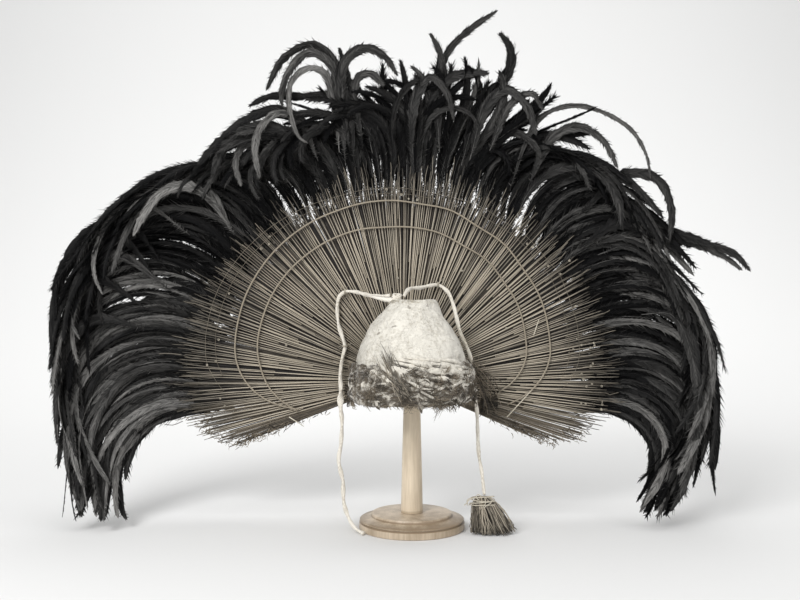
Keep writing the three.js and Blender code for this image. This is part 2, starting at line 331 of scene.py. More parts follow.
@dataclass(frozen=True)
class BarkClothFinish:
    """Beaten bark cloth: matt, mottled, with fibres that cross, and painted shade from each piece's
    tint.
    """

    name: str
    pale: Colour
    stained_and_shaded: Colour
    deep: Colour
    tint_weight: float = 0.5

    def material(self) -> bpy.types.Material:
        """Builds the material.

        Returns:
            The material.
        """
        palette = Palette(self.name)
        place = palette.coordinates()
        blotches = palette.noise(place, 20, 5, roughness=0.65)
        flecks = palette.noise(place, 190, 4, roughness=0.7)
        upright = palette.noise(place, 90, 4, (4, 4, 0.5))
        level = palette.noise(place, 110, 4, (0.7, 0.7, 5))
        # The tint attribute brings each piece's stains and its painted shade; blotches and flecks are
        # the cloth's own mottling.
        stain_and_shade = palette.tint() * self.tint_weight + (blotches - 0.5) * 1.6 + (flecks - 0.5) * 2.2
        spots = palette.noise(place, 70, 2).step(0.68, 0.74)
        # Crease lines: sunk in the bump, and painted darker in the colour as painted shade.
        creases = 1 - (palette.noise(place, 26, 5, roughness=0.7) - 0.5).size().step(0.0, 0.05)
        ground = palette.mix(stain_and_shade.step(-0.1, 1.0), self.pale, self.stained_and_shaded)
        colour = palette.mix(spots * 0.6 + creases * 0.10, ground, self.deep)
        height = upright * 0.5 + level * 0.4 + flecks * 0.8 + blotches * 0.8 - creases * 0.35
        return palette.finish(
            Base_Color=colour, Roughness=0.86 + flecks * 0.12, Sheen_Weight=0.25, Sheen_Roughness=0.5,
            Normal=palette.bump(height, 0.0022, 0.9),
        )


@dataclass(frozen=True)
class TurnedWoodFinish:
    """Waxed turned wood with grain up the pole and fine tool rings."""

    name: str = "turned wood"
    early: Colour = (0.64, 0.53, 0.40)
    late: Colour = (0.27, 0.20, 0.13)

    def material(self) -> bpy.types.Material:
        """Builds the material.

        Returns:
            The material.
        """
        palette = Palette(self.name)
        place = palette.coordinates()
        figure = palette.noise(place, 42, 5, (1, 1, 0.07), 0.6)
        pores = palette.noise(place, 420, 3, (1, 1, 0.06), 0.7)
        handling = palette.noise(place, 9, 3)
        lathe = palette.noise(place, 300, 2, (0.02, 0.02, 1))
        share = figure * 0.75 + pores * 0.35 + (handling - 0.5) * 0.5 + palette.tint()
        colour = palette.mix(share.step(0.3, 0.85), self.early, self.late)
        return palette.finish(
            Base_Color=colour, Roughness=0.34 + handling * 0.2 + pores * 0.06, Coat_Weight=0.15,
            Coat_Roughness=0.3, Normal=palette.bump(pores * 0.6 + lathe * 0.4, 0.0003, 0.5),
        )


@dataclass(frozen=True)
class CordFinish:
    """Twisted bark-cloth cord: pale, with soft slanting plies."""

    name: str = "bark cord"
    pale: Colour = (0.78, 0.74, 0.66)
    soiled_and_shaded: Colour = (0.40, 0.35, 0.27)

    def material(self) -> bpy.types.Material:
        """Builds the material.

        Returns:
            The material.
        """
        palette = Palette(self.name)
        across, along, _ = palette.axes(palette.coordinates("UV"))
        fibres = palette.noise(palette.coordinates(), 260, 4, roughness=0.65)
        soil = palette.noise(palette.coordinates(), 28, 4)
        plies = ((along * 150 + across * 3) * (2 * math.pi) + fibres * 3).sine() * 0.5 + 0.5
        # Painted shade: the ply grooves are painted darker, together with real soil and fibre tones.
        stain_and_shade = plies * 0.35 + (soil - 0.5) * 1.2 + (fibres - 0.5) * 0.7 + palette.tint() * 0.6
        return palette.finish(
            Base_Color=palette.mix(stain_and_shade.step(0.1, 1.0), self.pale, self.soiled_and_shaded),
            Roughness=0.82 + fibres * 0.12, Sheen_Weight=0.2,
            Normal=palette.bump(plies * 0.5 + fibres * 0.7, 0.0006, 0.7),
        )


@dataclass(frozen=True)
class PaperFinish:
    """The pale ground that the stand is shown on."""

    name: str = "studio paper"
    colour: Colour = (0.755, 0.755, 0.75)

    def material(self) -> bpy.types.Material:
        """Builds the material."""
        palette = Palette(self.name)
        return palette.finish(Base_Color=(*self.colour, 1), Roughness=0.95)


STICK = StrandFinish("split stick", (0.022, 0.018, 0.013), (0.46, 0.405, 0.32), 0.56)
# Painted shade: the back row's sticks get a darker copy of the stick colour, for the shade behind the
# front layer.
SHADED_STICK = StrandFinish("dark stick", (0.008, 0.006, 0.005), (0.20, 0.168, 0.126), 0.7)
CANE = StrandFinish("cane", (0.12, 0.098, 0.070), (0.46, 0.40, 0.31), 0.42, 0.25)
FIBRE = StrandFinish("dark fibre", (0.022, 0.018, 0.013), (0.30, 0.25, 0.185), 0.75)
THREAD = StrandFinish("pale thread", (0.20, 0.17, 0.13), (0.62, 0.57, 0.47), 0.8, 0.2)
FEATHER = FeatherFinish()
CAP_CLOTH = BarkClothFinish(
    "bark cloth", (0.70, 0.67, 0.60), (0.34, 0.305, 0.24), (0.13, 0.105, 0.075), 0.55
)
BAND_CLOTH = BarkClothFinish(
    "frayed bark cloth", (0.70, 0.66, 0.58), (0.085, 0.068, 0.048), (0.015, 0.011, 0.008), 1.15
)
BASE_WOOD = TurnedWoodFinish()
# Painted light: the pole's wood is a lighter copy of the disc's, for the pole being lit more.
LIT_POLE_WOOD = TurnedWoodFinish("turned pole wood", (0.76, 0.65, 0.50), (0.46, 0.37, 0.26))
CORD = CordFinish()


# ---- mesh helpers


def deselect() -> None:
    """Leaves edit mode and deselects everything."""
    if bpy.context.object and bpy.context.object.mode != "OBJECT":
        bpy.ops.object.mode_set(mode="OBJECT")
    bpy.ops.object.select_all(action="DESELECT")


def shade_smooth(piece: bpy.types.Object) -> None:
    """Shades a piece smooth all over."""
    for face in piece.data.polygons:
        face.use_smooth = True


def settle(
    piece: bpy.types.Object, name: str, material: bpy.types.Material
) -> bpy.types.Object:
    """Names and dresses a finished piece, and puts its place in its mesh.

    Args:
        piece: The new piece.
        name: Its name.
        material: Its material.

    Returns:
        The piece, riding on the body.
    """
    deselect()
    piece.select_set(True)
    bpy.context.view_layer.objects.active = piece
    bpy.ops.object.transform_apply(location=True, rotation=True, scale=True)
    piece.name = name
    piece.data.name = name
    piece.data.materials.clear()
    piece.data.materials.append(material)
    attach(piece, "root")
    return piece


def apply_modifier(piece: bpy.types.Object, kind: str, **settings: Any) -> None:
    """Adds a modifier and applies it.

    Args:
        piece: The active piece.
        kind: The modifier's type.
        settings: Its settings.
    """
    modifier = piece.modifiers.new(kind.title(), kind)
    for key, setting in settings.items():
        setattr(modifier, key, setting)
    bpy.context.view_layer.objects.active = piece
    bpy.ops.object.modifier_apply(modifier=modifier.name)


def get_points(piece: bpy.types.Object) -> np.ndarray:
    """Reads a mesh's points.

    Args:
        piece: The piece.

    Returns:
        The points as rows.
    """
    flat = np.empty(len(piece.data.vertices) * 3)
    piece.data.vertices.foreach_get("co", flat)
    return flat.reshape(-1, 3)


def set_points(piece: bpy.types.Object, points: np.ndarray) -> None:
    """Moves a mesh's points to new places."""
    piece.data.vertices.foreach_set("co", points.ravel())
    piece.data.update()


def set_tint(piece: bpy.types.Object, values: np.ndarray) -> None:
    """Gives each point of a piece its lightness."""
    attribute = piece.data.attributes.new("tint", "FLOAT", "POINT")
    attribute.data.foreach_set("value", values.astype(np.float32))


def lumps(points: np.ndarray, size: float, seed: int) -> np.ndarray:
    """A smooth random field, made of plane waves.

    Args:
        points: Where it is read, in metres.
        size: The lumps' size, in metres.
        seed: The seed.

    Returns:
        A value for each point, about -1 to 1.
    """
    waves = 7
    rng = np.random.default_rng(seed)
    total = np.zeros(points.shape[:-1])
    for _ in range(waves):
        direction = rng.normal(size=3)
        direction /= np.linalg.norm(direction)
        pace = rng.uniform(0.6, 1.6) * math.pi / size
        total += np.sin(points @ direction * pace + rng.uniform(0, 2 * math.pi))
    return total / math.sqrt(waves)


def smooth_route(route: Sequence[Point], count: int) -> np.ndarray:
    """A smooth line through given points, with evenly spaced points.

    Args:
        route: The points that it passes through.
        count: How many points to return.

    Returns:
        The line's points.
    """
    steps_between = 16
    knots = np.array(route, float)
    padded = np.vstack([2 * knots[0] - knots[1], knots, 2 * knots[-1] - knots[-2]])
    pieces = []
    for k in range(len(knots) - 1):
        a, b, c, d = padded[k : k + 4]
        gaps = np.linalg.norm(np.diff(padded[k : k + 4], axis=0), axis=1) ** 0.5
        t0, t1, t2, t3 = np.concatenate([[0], np.cumsum(gaps)])
        t = np.linspace(t1, t2, steps_between, endpoint=False)[:, None]
        ab = ((t1 - t) * a + (t - t0) * b) / (t1 - t0)
        bc = ((t2 - t) * b + (t - t1) * c) / (t2 - t1)
        cd = ((t3 - t) * c + (t - t2) * d) / (t3 - t2)
        abc = ((t2 - t) * ab + (t - t0) * bc) / (t2 - t0)
        bcd = ((t3 - t) * bc + (t - t1) * cd) / (t3 - t1)
        pieces.append(((t2 - t) * abc + (t - t1) * bcd) / (t2 - t1))
    line = np.vstack([*pieces, knots[-1:]])
    reach = np.concatenate([[0], np.cumsum(np.linalg.norm(np.diff(line, axis=0), axis=1))])
    places = np.linspace(0, reach[-1], count)
    return np.stack([np.interp(places, reach, line[:, k]) for k in range(3)], 1)


def line_length(line: np.ndarray) -> float:
    """A line's length."""
    return float(np.linalg.norm(np.diff(line, axis=0), axis=1).sum())


def bowed_line(foot: np.ndarray, middle: np.ndarray, tip: np.ndarray, steps: np.ndarray) -> np.ndarray:
    """A line from a foot to a tip that bows towards a middle, at steps of its way."""
    return (1 - steps) ** 2 * foot + 2 * steps * (1 - steps) * middle + steps**2 * tip


@dataclass(frozen=True)
class Strand:
    """One straight strand, cut into rings, that is laid along many paths."""

    rings: int
    around: np.ndarray
    ring: np.ndarray
    loops: np.ndarray
    starts: np.ndarray

    @classmethod
    def model(cls, section: Section, rings: int) -> "Strand":
        """Models the strand: a cylinder whose long edges are cut into even rings.

        Args:
            section: How many sides it has.
            rings: How many rings of points it has.

        Returns:
            The strand.
        """
        deselect()
        bpy.ops.mesh.primitive_cylinder_add(vertices=section.value, radius=1, depth=1)
        piece = bpy.context.object
        bpy.ops.object.mode_set(mode="EDIT")
        bpy.ops.mesh.select_mode(type="EDGE")
        bpy.ops.mesh.select_all(action="DESELECT")
        bpy.ops.object.mode_set(mode="OBJECT")
        for edge in piece.data.edges:
            low, high = (piece.data.vertices[k].co.z for k in edge.vertices)
            edge.select = abs(low - high) > 0.5
        bpy.ops.object.mode_set(mode="EDIT")
        bpy.ops.mesh.subdivide(number_cuts=rings - 2)
        bpy.ops.object.mode_set(mode="OBJECT")
        return cls.take(piece, rings)

    @classmethod
    def model_point(cls) -> "Strand":
        """Models a strand that runs to a point in one step: a three-sided cone.

        Returns:
            The strand.
        """
        deselect()
        bpy.ops.mesh.primitive_cone_add(vertices=3, radius1=1, depth=1)
        return cls.take(bpy.context.object, 2)

    @classmethod
    def take(cls, piece: bpy.types.Object, rings: int) -> "Strand":
        """Takes a strand's shape from its model, which is then removed.

        Args:
            piece: The model, from -0.5 to 0.5 along Z.
            rings: How many rings of points it has.

        Returns:
            The strand.
        """
        points = get_points(piece)
        ring = np.rint((points[:, 2] + 0.5) * (rings - 1)).astype(int)
        loops = np.array([k for face in piece.data.polygons for k in face.vertices])
        starts = np.array([face.loop_start for face in piece.data.polygons])
        bpy.data.objects.remove(piece)
        return cls(rings, points[:, :2], ring, loops, starts)


@dataclass
class Bundle:
    """Many strands gathered into one mesh."""

    points: list[np.ndarray] = field(default_factory=list)
    loops: list[np.ndarray] = field(default_factory=list)
    starts: list[np.ndarray] = field(default_factory=list)
    across: list[np.ndarray] = field(default_factory=list)
    tints: list[np.ndarray] = field(default_factory=list)
    creases: list[np.ndarray] = field(default_factory=list)
    point_count: int = 0
    loop_count: int = 0

    def lay(
        self, strand: Strand, paths: np.ndarray, widths: np.ndarray, heights: np.ndarray | None = None,
        facing: Any = (0, -1, 0), turn: Any = 0.0, tint: Any = 0.5, crisp: bool = False,
    ) -> None:
        """Lays one copy of a strand along each path.

        Args:
            strand: The strand.
            paths: The paths, (copies, rings, 3), in metres.
            widths: Half widths, (copies, rings) or what broadcasts to it.
            heights: Half thicknesses, the widths if left out.
            facing: The way the strand's broad side faces, for all or for each copy.
            turn: How far the section is turned about its path, in radians.
            tint: Lightness, for all, for each copy or for each ring.
            crisp: Whether the edges along the strand stay sharp.
        """
        copies, rings, _ = paths.shape
        shape = (copies, rings)
        widths = np.broadcast_to(widths, shape)
        heights = widths if heights is None else np.broadcast_to(heights, shape)
        turn = np.broadcast_to(turn, shape)[..., None]
        tangent = np.gradient(paths, axis=1)
        tangent /= np.linalg.norm(tangent, axis=2, keepdims=True)
        front = np.broadcast_to(np.asarray(facing, float), paths.shape)
        front = front - (front * tangent).sum(2, keepdims=True) * tangent
        front = front / np.maximum(np.linalg.norm(front, axis=2, keepdims=True), 1e-9)
        side = np.cross(front, tangent)
        side, front = (
            np.cos(turn) * side + np.sin(turn) * front, np.cos(turn) * front - np.sin(turn) * side
        )
        ring = strand.ring
        x, y = strand.around.T
        points = (
            paths[:, ring]
            + (x * widths[:, ring])[..., None] * side[:, ring]
            + (y * heights[:, ring])[..., None] * front[:, ring]
        )
        steps = np.linalg.norm(np.diff(paths, axis=1), axis=2)
        reach = np.concatenate([np.zeros((copies, 1)), np.cumsum(steps, axis=1)], axis=1)
        uv = np.stack([np.broadcast_to(0.5 + 0.5 * x, points.shape[:2]), reach[:, ring]], 2)
        count = len(ring)
        first = self.point_count + count * np.arange(copies)[:, None]
        self.loops.append((strand.loops[None] + first).ravel())
        first = self.loop_count + len(strand.loops) * np.arange(copies)[:, None]
        self.starts.append((strand.starts[None] + first).ravel())
        self.points.append(points.reshape(-1, 3))
        self.across.append(uv.reshape(-1, 2))
        self.tints.append(np.broadcast_to(tint, shape)[:, ring].ravel())
        self.creases.append(np.tile(ring + 1 if crisp else 0 * ring, copies))
        self.point_count += copies * count
        self.loop_count += copies * len(strand.loops)

    def build(self, name: str, material: bpy.types.Material, slot: str) -> bpy.types.Object:
        """Makes the mesh.

        Args:
            name: The piece's name.
            material: Its material.
            slot: Not used.

        Returns:
            The piece.
        """
        mesh = bpy.data.meshes.new(name)
        loops = np.concatenate(self.loops)
        starts = np.concatenate(self.starts)
        mesh.vertices.add(self.point_count)
        mesh.vertices.foreach_set("co", np.concatenate(self.points).ravel())
        mesh.loops.add(len(loops))
        mesh.loops.foreach_set("vertex_index", loops)
        mesh.polygons.add(len(starts))
        mesh.polygons.foreach_set("loop_start", starts)
        mesh.update(calc_edges=True)
        mesh.polygons.foreach_set("use_smooth", np.ones(len(starts), bool))
        ends = np.empty(len(mesh.edges) * 2, int)
        mesh.edges.foreach_get("vertices", ends)
        creases = np.concatenate(self.creases)[ends.reshape(-1, 2)]
        mesh.edges.foreach_set("use_edge_sharp", creases[:, 0] != creases[:, 1])
        layer = mesh.uv_layers.new(name="UVMap")
        layer.data.foreach_set("uv", np.concatenate(self.across)[loops].ravel())
        piece = bpy.data.objects.new(name, mesh)
        bpy.context.collection.objects.link(piece)
        set_tint(piece, np.concatenate(self.tints))
        return settle(piece, name, material)


@dataclass
class Turning:
    """A round piece turned from a profile."""

    profile: Sequence[tuple[float, float, float]]
    sides: int = 96
    capped: bool = True

    def model(self) -> bpy.types.Object:
        """Models the piece: a disc is extruded up, then scaled and shifted at each step.

        Returns:
            The piece, with its normals outside.
        """
        deselect()
        radius, height, shift = self.profile[0]
        bpy.ops.mesh.primitive_circle_add(
            vertices=self.sides, radius=radius * MM, fill_type="NGON" if self.capped else "NOTHING",
            location=(0, shift * MM, height * MM),
        )
        piece = bpy.context.object
        bpy.ops.object.transform_apply(location=True)
        bpy.ops.object.mode_set(mode="EDIT")
        bpy.ops.mesh.select_all(action="SELECT")
        for new_radius, new_height, new_shift in self.profile[1:]:
            if self.capped:
                bpy.ops.mesh.extrude_region()
            else:
                bpy.ops.mesh.extrude_edges_indiv()
            lift = (0, (new_shift - shift) * MM, (new_height - height) * MM)
            bpy.ops.transform.translate(value=lift)
            share = new_radius / radius
            bpy.ops.transform.resize(
                value=(share, share, 1), center_override=(0, new_shift * MM, new_height * MM)
            )
            radius, height, shift = new_radius, new_height, new_shift
        bpy.ops.mesh.select_all(action="SELECT")
        bpy.ops.mesh.normals_make_consistent(inside=False)
        bpy.ops.object.mode_set(mode="OBJECT")
        return piece


# ---- studio


@dataclass(frozen=True)
class Lamp:
    """A soft rectangular light: where it stands, what it faces, its two sides and its power."""

    name: str
    place: Point
    aim: Point
    width: float
    height: float
    power: float

    def build(self) -> None:
        """Adds the light, level and turned to what it faces."""
        lamp = bpy.data.lights.new(self.name, "AREA")
        lamp.shape = "RECTANGLE"
        lamp.size = self.width
        lamp.size_y = self.height
        lamp.energy = self.power
        holder = bpy.data.objects.new(self.name, lamp)
        way = np.array(self.aim) - np.array(self.place)
        level = math.hypot(way[0], way[1])
        holder.location = self.place
        holder.rotation_euler = (math.atan2(level, -way[2]), 0, math.atan2(-way[0], way[1]))
        bpy.context.collection.objects.link(holder)


@dataclass
class Studio:
    """The camera, soft lights and a pale sweep of paper."""

    eye: Point = (-0.019, -1.5, 0.364)
    lens: float = 42.2
    sensor_width: float = 36
    sweep_depth: float = 4.6
    sweep_height: float = 6
    sweep_bend: float = 3.6
    paper_half_width: float = 8.0
    room_light: float = 0.42
    lamps: Sequence[Lamp] = (
        Lamp("window", (-1.3, -2.2, 1.8), (0, 0, 0.35), 1.3, 1.3, 70),
        Lamp("fill", (1.9, -1.6, 1.1), (0, 0, 0.3), 2.0, 2.0, 16),
        Lamp("top", (0.2, 0.4, 2.6), (0, 0.3, 0.3), 2.2, 2.2, 25),
        Lamp("backdrop", (0, 1.2, 3.1), (0, 4.0, 2.0), 6.0, 3.0, 104),
    )

    def place_camera(self) -> None:
        """Sets the camera level, square to the headdress."""
        camera = bpy.data.cameras.new("camera")
        camera.lens = self.lens
        camera.sensor_width = self.sensor_width
        holder = bpy.data.objects.new("camera", camera)
        holder.location = self.eye
        holder.rotation_euler = (math.radians(90), 0, 0)
        bpy.context.collection.objects.link(holder)
        bpy.context.scene.camera = holder

    def lay_paper(self) -> None:
        """Models the floor as a sheet that sweeps up behind."""
        deselect()
        half = self.paper_half_width
        bpy.ops.mesh.primitive_plane_add(size=2 * half, location=(0, self.sweep_depth - half, 0))
        paper = bpy.context.object
        bpy.ops.object.transform_apply(location=True)
        for edge in paper.data.edges:
            edge.select = all(paper.data.vertices[k].co.y > 0 for k in edge.vertices)
        for vertex in paper.data.vertices:
            vertex.select = vertex.co.y > 0
        for face in paper.data.polygons:
            face.select = False
        bpy.ops.object.mode_set(mode="EDIT")
        bpy.ops.mesh.extrude_edges_indiv()
        bpy.ops.transform.translate(value=(0, 0, self.sweep_height))
        bpy.ops.object.mode_set(mode="OBJECT")
        settings = {"segments": 40, "limit_method": "ANGLE", "affect": "EDGES"}
        apply_modifier(paper, "BEVEL", width=self.sweep_bend, **settings)
        shade_smooth(paper)
        paper.name = "studio_paper"
        paper.data.materials.append(PaperFinish().material())

    def build(self) -> None:
        """Sets up the whole studio."""
        self.place_camera()
        self.lay_paper()
        world = bpy.data.worlds.new("soft room")
        world.use_nodes = True
        ground = world.node_tree.nodes["Background"]
        ground.inputs["Color"].default_value = (1, 1, 1, 1)
        ground.inputs["Strength"].default_value = self.room_light
        bpy.context.scene.world = world
        bpy.context.scene.view_settings.view_transform = "Standard"
        for lamp in self.lamps:
            lamp.build()


# ---- the stand


@dataclass
class Stand:
    """The turned wooden stand: profiles of radius, height and shift back, in millimetres."""

    base: Sequence[tuple[float, float, float]] = (
        (82.5, 0, 0), (84, 1.2, 0), (84, 10.6, 0), (83.2, 11.4, 0), (81.6, 11.7, 0), (81.6, 13.5, 0),
        (83.2, 14.0, 0), (83.1, 15.2, 0), (81.6, 16.2, 0), (76, 17.0, 0), (69, 18.6, 0), (66, 19.6, 0),
        (64.6, 20.6, 0), (64.3, 23.4, 0), (63.4, 24.6, 0), (61.6, 25, 0), (30, 25, 0),
    )
    pole: Sequence[tuple[float, float, float]] = (
        (17.5, 25.3, 0), (17.4, 30, 0), (16.4, 80, 0), (15.2, 130, 0), (13.9, 180, 0), (12.6, 215, 0),
        (12.5, 290, 0), (17.5, 333.7, -12.8), (24, 351.7, -28.8), (24, 360.7, -30.4),
    )
    sides: int = 128
    groove: float = 12.6
    # Painted shade: darker bands on the disc's slope, by height.
    slope_painted_shade: Sequence[Sequence[float]] = (
        (14.5, 15, 19.5, 20, 21.5, 22), (0, 0.3, 0, 0.35, 0.35, 0)
    )

    def build(self) -> None:
        """Models and dresses the disc and the pole."""
        for name, profile, node, wood in (
            ("turned_base", self.base, "stand_base", BASE_WOOD),
            ("turned_pole", self.pole, "stand_pole", LIT_POLE_WOOD),
        ):
            piece = Turning(profile, self.sides).model()
            bpy.ops.object.shade_smooth_by_angle(angle=math.radians(35))
            points = get_points(piece) / MM
            height = points[:, 2]
            groove = np.abs(height - self.groove) < 1.3
            joint = np.abs(height - self.pole[0][1]) < 0.2
            # Painted shade: the tint darkens the groove, bands on the slope and the pole's joint with
            # the disc.
            set_tint(piece, 1.1 * groove + np.interp(height, *self.slope_painted_shade) + 0.5 * joint)
            settle(piece, name, wood.material())
            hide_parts(node)
        LOG.info("stand: disc and pole")


# ---- the cap


@dataclass
class Cap:
    """The bark-cloth cap, its wound band and what is stuck into them."""

    y: float = -32
    depth: float = 1.055
    flank: Sequence[tuple[float, float]] = (
        (90, 207), (89, 235), (86.5, 262), (81.5, 284), (75.5, 301), (66.5, 317), (57.5, 329),
        (49.5, 340), (41.5, 352), (35, 360.5), (30.5, 364),
    )
    wall: float = 2.8
    crown_height: float = 363.9
    fray_hairs: int = 520
    fray_low: float = 262
    short_folds: int = 200
    clumps: int = 190
    wisps: int = 30
    stalks: int = 58
    band_middle: float = 236
    band_half_height: float = 27
    band_out: float = 4.2
    band_half_depth: float = 3.6
    grass_foot: Point = (-14, -139.5, 228)

    def radius(self, height: Any) -> Any:
        """The cap's outside half width at a height, in millimetres."""
        radii, heights = np.array(self.flank).T
        return np.interp(height, heights, radii)

    def around(self, angle: Any, out: Any, height: Any) -> np.ndarray:
        """Points on the cap's flank.

        Args:
            angle: The way from the axis, in degrees from +X.
            out: How far out of the flank, in millimetres.
            height: The height, in millimetres.

        Returns:
            The points, in metres.
        """
        angle, out, height = np.broadcast_arrays(np.radians(angle), out, height)
        reach = self.radius(height) + out
        x = reach * np.cos(angle)
        y = self.y + self.depth * reach * np.sin(angle)
        return np.stack([x, y, height], -1) * MM

    def make_shell(self) -> None:
        """Models the cap: a turned bell, dented, with a wall and a flat crown."""
        heights = np.concatenate([np.linspace(207, 352, 34), [356, 359.5, 362, 363.4]])
        profile = [(float(self.radius(z)), float(z), 0.0) for z in heights]
        profile += [(r, self.crown_height, 0.0) for r in (29.5, 27, 24, 20, 15, 10, 5, 1)]
        piece = Turning(profile, 144, capped=False).model()
        bpy.ops.object.mode_set(mode="EDIT")
        bpy.ops.mesh.select_all(action="DESELECT")
        bpy.ops.object.mode_set(mode="OBJECT")
        for vertex in piece.data.vertices:
            vertex.select = math.hypot(vertex.co.x, vertex.co.y) < 2 * MM
        bpy.ops.object.mode_set(mode="EDIT")
        bpy.ops.mesh.select_mode(type="VERT")
        bpy.ops.mesh.edge_face_add()
        bpy.ops.mesh.select_all(action="SELECT")
        bpy.ops.mesh.normals_make_consistent(inside=False)
        bpy.ops.object.mode_set(mode="OBJECT")
        points = get_points(piece)
        angle = np.arctan2(points[:, 1], points[:, 0])
        flat = np.hypot(points[:, 0], points[:, 1])
        low = np.clip((points[:, 2] - 0.207) / 0.15, 0, 1)
        folds = np.sin(angle * 9 + 3 * lumps(points, 0.09, 3)) * low * 0.0011
        dents = lumps(points, 0.03, 5) * 0.0015 + lumps(points, 0.009, 6) * 0.0006
        pleats = np.exp(-(((np.degrees(angle) + 128) / 9) ** 2)) * low * -0.0022
        share = 1 + (folds + dents + pleats) / np.maximum(flat, 0.02)
        points[:, :2] *= share[:, None]
        points[:, 2] += np.clip(lumps(points, 0.018, 8), -1, 1) * 0.0012 * (low > 0.98)
        points[:, 1] = points[:, 1] * self.depth + self.y * MM
        points[:, 0] += np.interp(points[:, 2], (0.290, 0.337, 0.364), (0, -0.003, 0.0035))
        set_points(piece, points)
        apply_modifier(piece, "SOLIDIFY", thickness=self.wall * MM, offset=-1)
        shade_smooth(piece)
        points = get_points(piece)
        rim = np.clip((0.270 - points[:, 2]) / 0.03, 0, 1)
        side = np.clip(-points[:, 0] / (self.radius(points[:, 2] / MM) * MM) - 0.35, 0, 1)
        crown = np.clip((points[:, 2] - 0.355) / 0.006, 0, 1)
        # Painted shade down the left flank; the tint is also darker just above the band and on the
        # crown.
        set_tint(piece, 0.05 + 0.4 * rim + 0.75 * side**1.5 + 0.3 * crown)
        settle(piece, "bark_cloth_cap", CAP_CLOTH.material())
        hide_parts("cap_shell")

    def make_fray(self) -> None:
        """Frays the crown's edge, and the cloth here and there, into short fibres."""
        rng = np.random.default_rng(11)
        hair = Strand.model(Section.HAIR, 4)
        bundle = Bundle()
        count, low = self.fray_hairs, self.fray_low
        edge = rng.random(count) < 0.62
        height = np.where(edge, rng.normal(361.8, 1.3, count), rng.uniform(low, 355, count))
        height = np.clip(height, low, 363.5)
        angle = rng.uniform(0, 360, count)
        start = self.around(angle, -0.4, height)
        slope = rng.normal(0, 50, count)
        reach = np.where(edge, rng.uniform(2, 6.5, count), rng.uniform(2, 5, count))
        steps = np.linspace(0, 1, 4)
        around = angle[:, None] + np.sign(slope)[:, None] * reach[:, None] * steps * 1.4
        out = 0.1 + np.where(edge, 1.8, 0.7)[:, None] * steps**2
        rise = height[:, None] + np.where(edge, 1.5, -2.0)[:, None] * steps
        paths = self.around(around, out, np.clip(rise, low, 365.5))
        paths += (start - paths[:, 0])[:, None]
        width = np.array([0.35, 0.3, 0.22, 0.06])
        bundle.lay(hair, paths, width * MM, tint=rng.uniform(0.6, 1, (count, 1)))
        bundle.build("cap_fray", THREAD.material(), "bark_cloth")

    def paleness(self, angle: Any, height: Any) -> Any:
        """How much pale cloth shows on the band, 0 to 1: most at the upper right of its front."""
        right = np.exp(-(((angle + 60) / 60) ** 2))
        return right * np.clip((height - 195) / 50, 0.35, 1)

    def make_band(self) -> None:
        """Models the wound band: a lumpy ring with folds, strips and fray over it."""
        deselect()
        thin = 0.25
        bpy.ops.mesh.primitive_torus_add(
            major_segments=240, minor_segments=24, major_radius=1, minor_radius=thin
        )
        ring = bpy.context.object
        points = get_points(ring)
        angle = np.degrees(np.arctan2(points[:, 1], points[:, 0]))
        out = (np.hypot(points[:, 0], points[:, 1]) - 1) / thin
        up = points[:, 2] / thin
        swell = 1 + 0.12 * lumps(self.around(angle, self.band_out, self.band_middle), 0.04, 21)
        placed = self.around(
            angle, self.band_out + out * self.band_half_depth * swell,
            self.band_middle + up * self.band_half_height * swell,
        )
        slanted = placed @ np.array([[1, 0, 0.9], [0, 1, 0.3], [0, 0, 2.2]])
        rough = lumps(slanted, 0.022, 22) * 2.0 + lumps(slanted, 0.009, 23) * 1.4
        shift = np.stack([points[:, 0] * rough, points[:, 1] * rough, 0.7 * rough], 1) * MM
        outer = (out > -0.5)[:, None]
        set_points(ring, placed + shift * outer)
        pale = self.paleness(angle, placed[:, 2] / MM)
        # Painted shade and light: the tint darkens the hollows of the lumps and lightens their tops;
        # the pale share is the band's own pale cloth.
        set_tint(ring, np.clip(0.7 - 0.45 * pale - (0.08 + 0.22 * pale) * rough, 0, 1))
        shade_smooth(ring)
        cloth = BAND_CLOTH.material()
        settle(ring, "wound_band", cloth)
        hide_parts("cap_band")
        self.make_folds(cloth)
        self.make_fluff()

    def make_folds(self, cloth: bpy.types.Material) -> None:
        """Winds torn strips round the band, and crumples rolls of cloth over it, each with a dark roll
        under it as a painted shadow.

        Args:
            cloth: The band's material.
        """
        rng = np.random.default_rng(31)
        bundle = Bundle()
        rings = 22
        roll = Strand.model(Section.STICK, rings)
        steps = np.linspace(0, 1, rings)
        long_folds = (
            (-114, 66, 270, -16, 3.6), (-110, 60, 263, -17, 4.0), (-100, 60, 274, -13, 3.2),
            (-92, 62, 267, -17, 3.8), (-80, 52, 259, -15, 4.2), (-70, 48, 271, -12, 3.4),
            (-64, 44, 263, -14, 3.8), (-56, 42, 255, -10, 3.6), (-108, 50, 254, -14, 3.6),
            (-90, 50, 249, -12, 3.2), (-150, 50, 262, -5, 2.6), (-170, 60, 258, 4, 2.8),
            (-86, 4, 212, -18, 3.4), (-48, 5, 212, -14, 2.8), (-126, 5, 211, -10, 2.8),
        )
        short_folds = [
            (
                rng.uniform(-180, 180),
                rng.uniform(8, 28),
                rng.uniform(212, 262),
                rng.normal(-2, 10),
                rng.uniform(1.2, 3.0),
            )
            for _ in range(self.short_folds)
        ]
        for start, span, height, slant, half in (*long_folds, *short_folds):
            angle = start + span * steps
            wave = lumps(np.stack([angle / 60, 0 * angle + height, 0 * angle], 1), 0.22, 33)
            rise = np.clip(height + slant * (steps - 0.5) + 1.6 * wave, 203, 283)
            out = np.interp(rise, (208, 225, 255, 264, 283), (4.5, 7, 6.4, 2.6, 1.4))
            out = out + 1.4 * np.sin(math.pi * steps) + 0.9 * wave
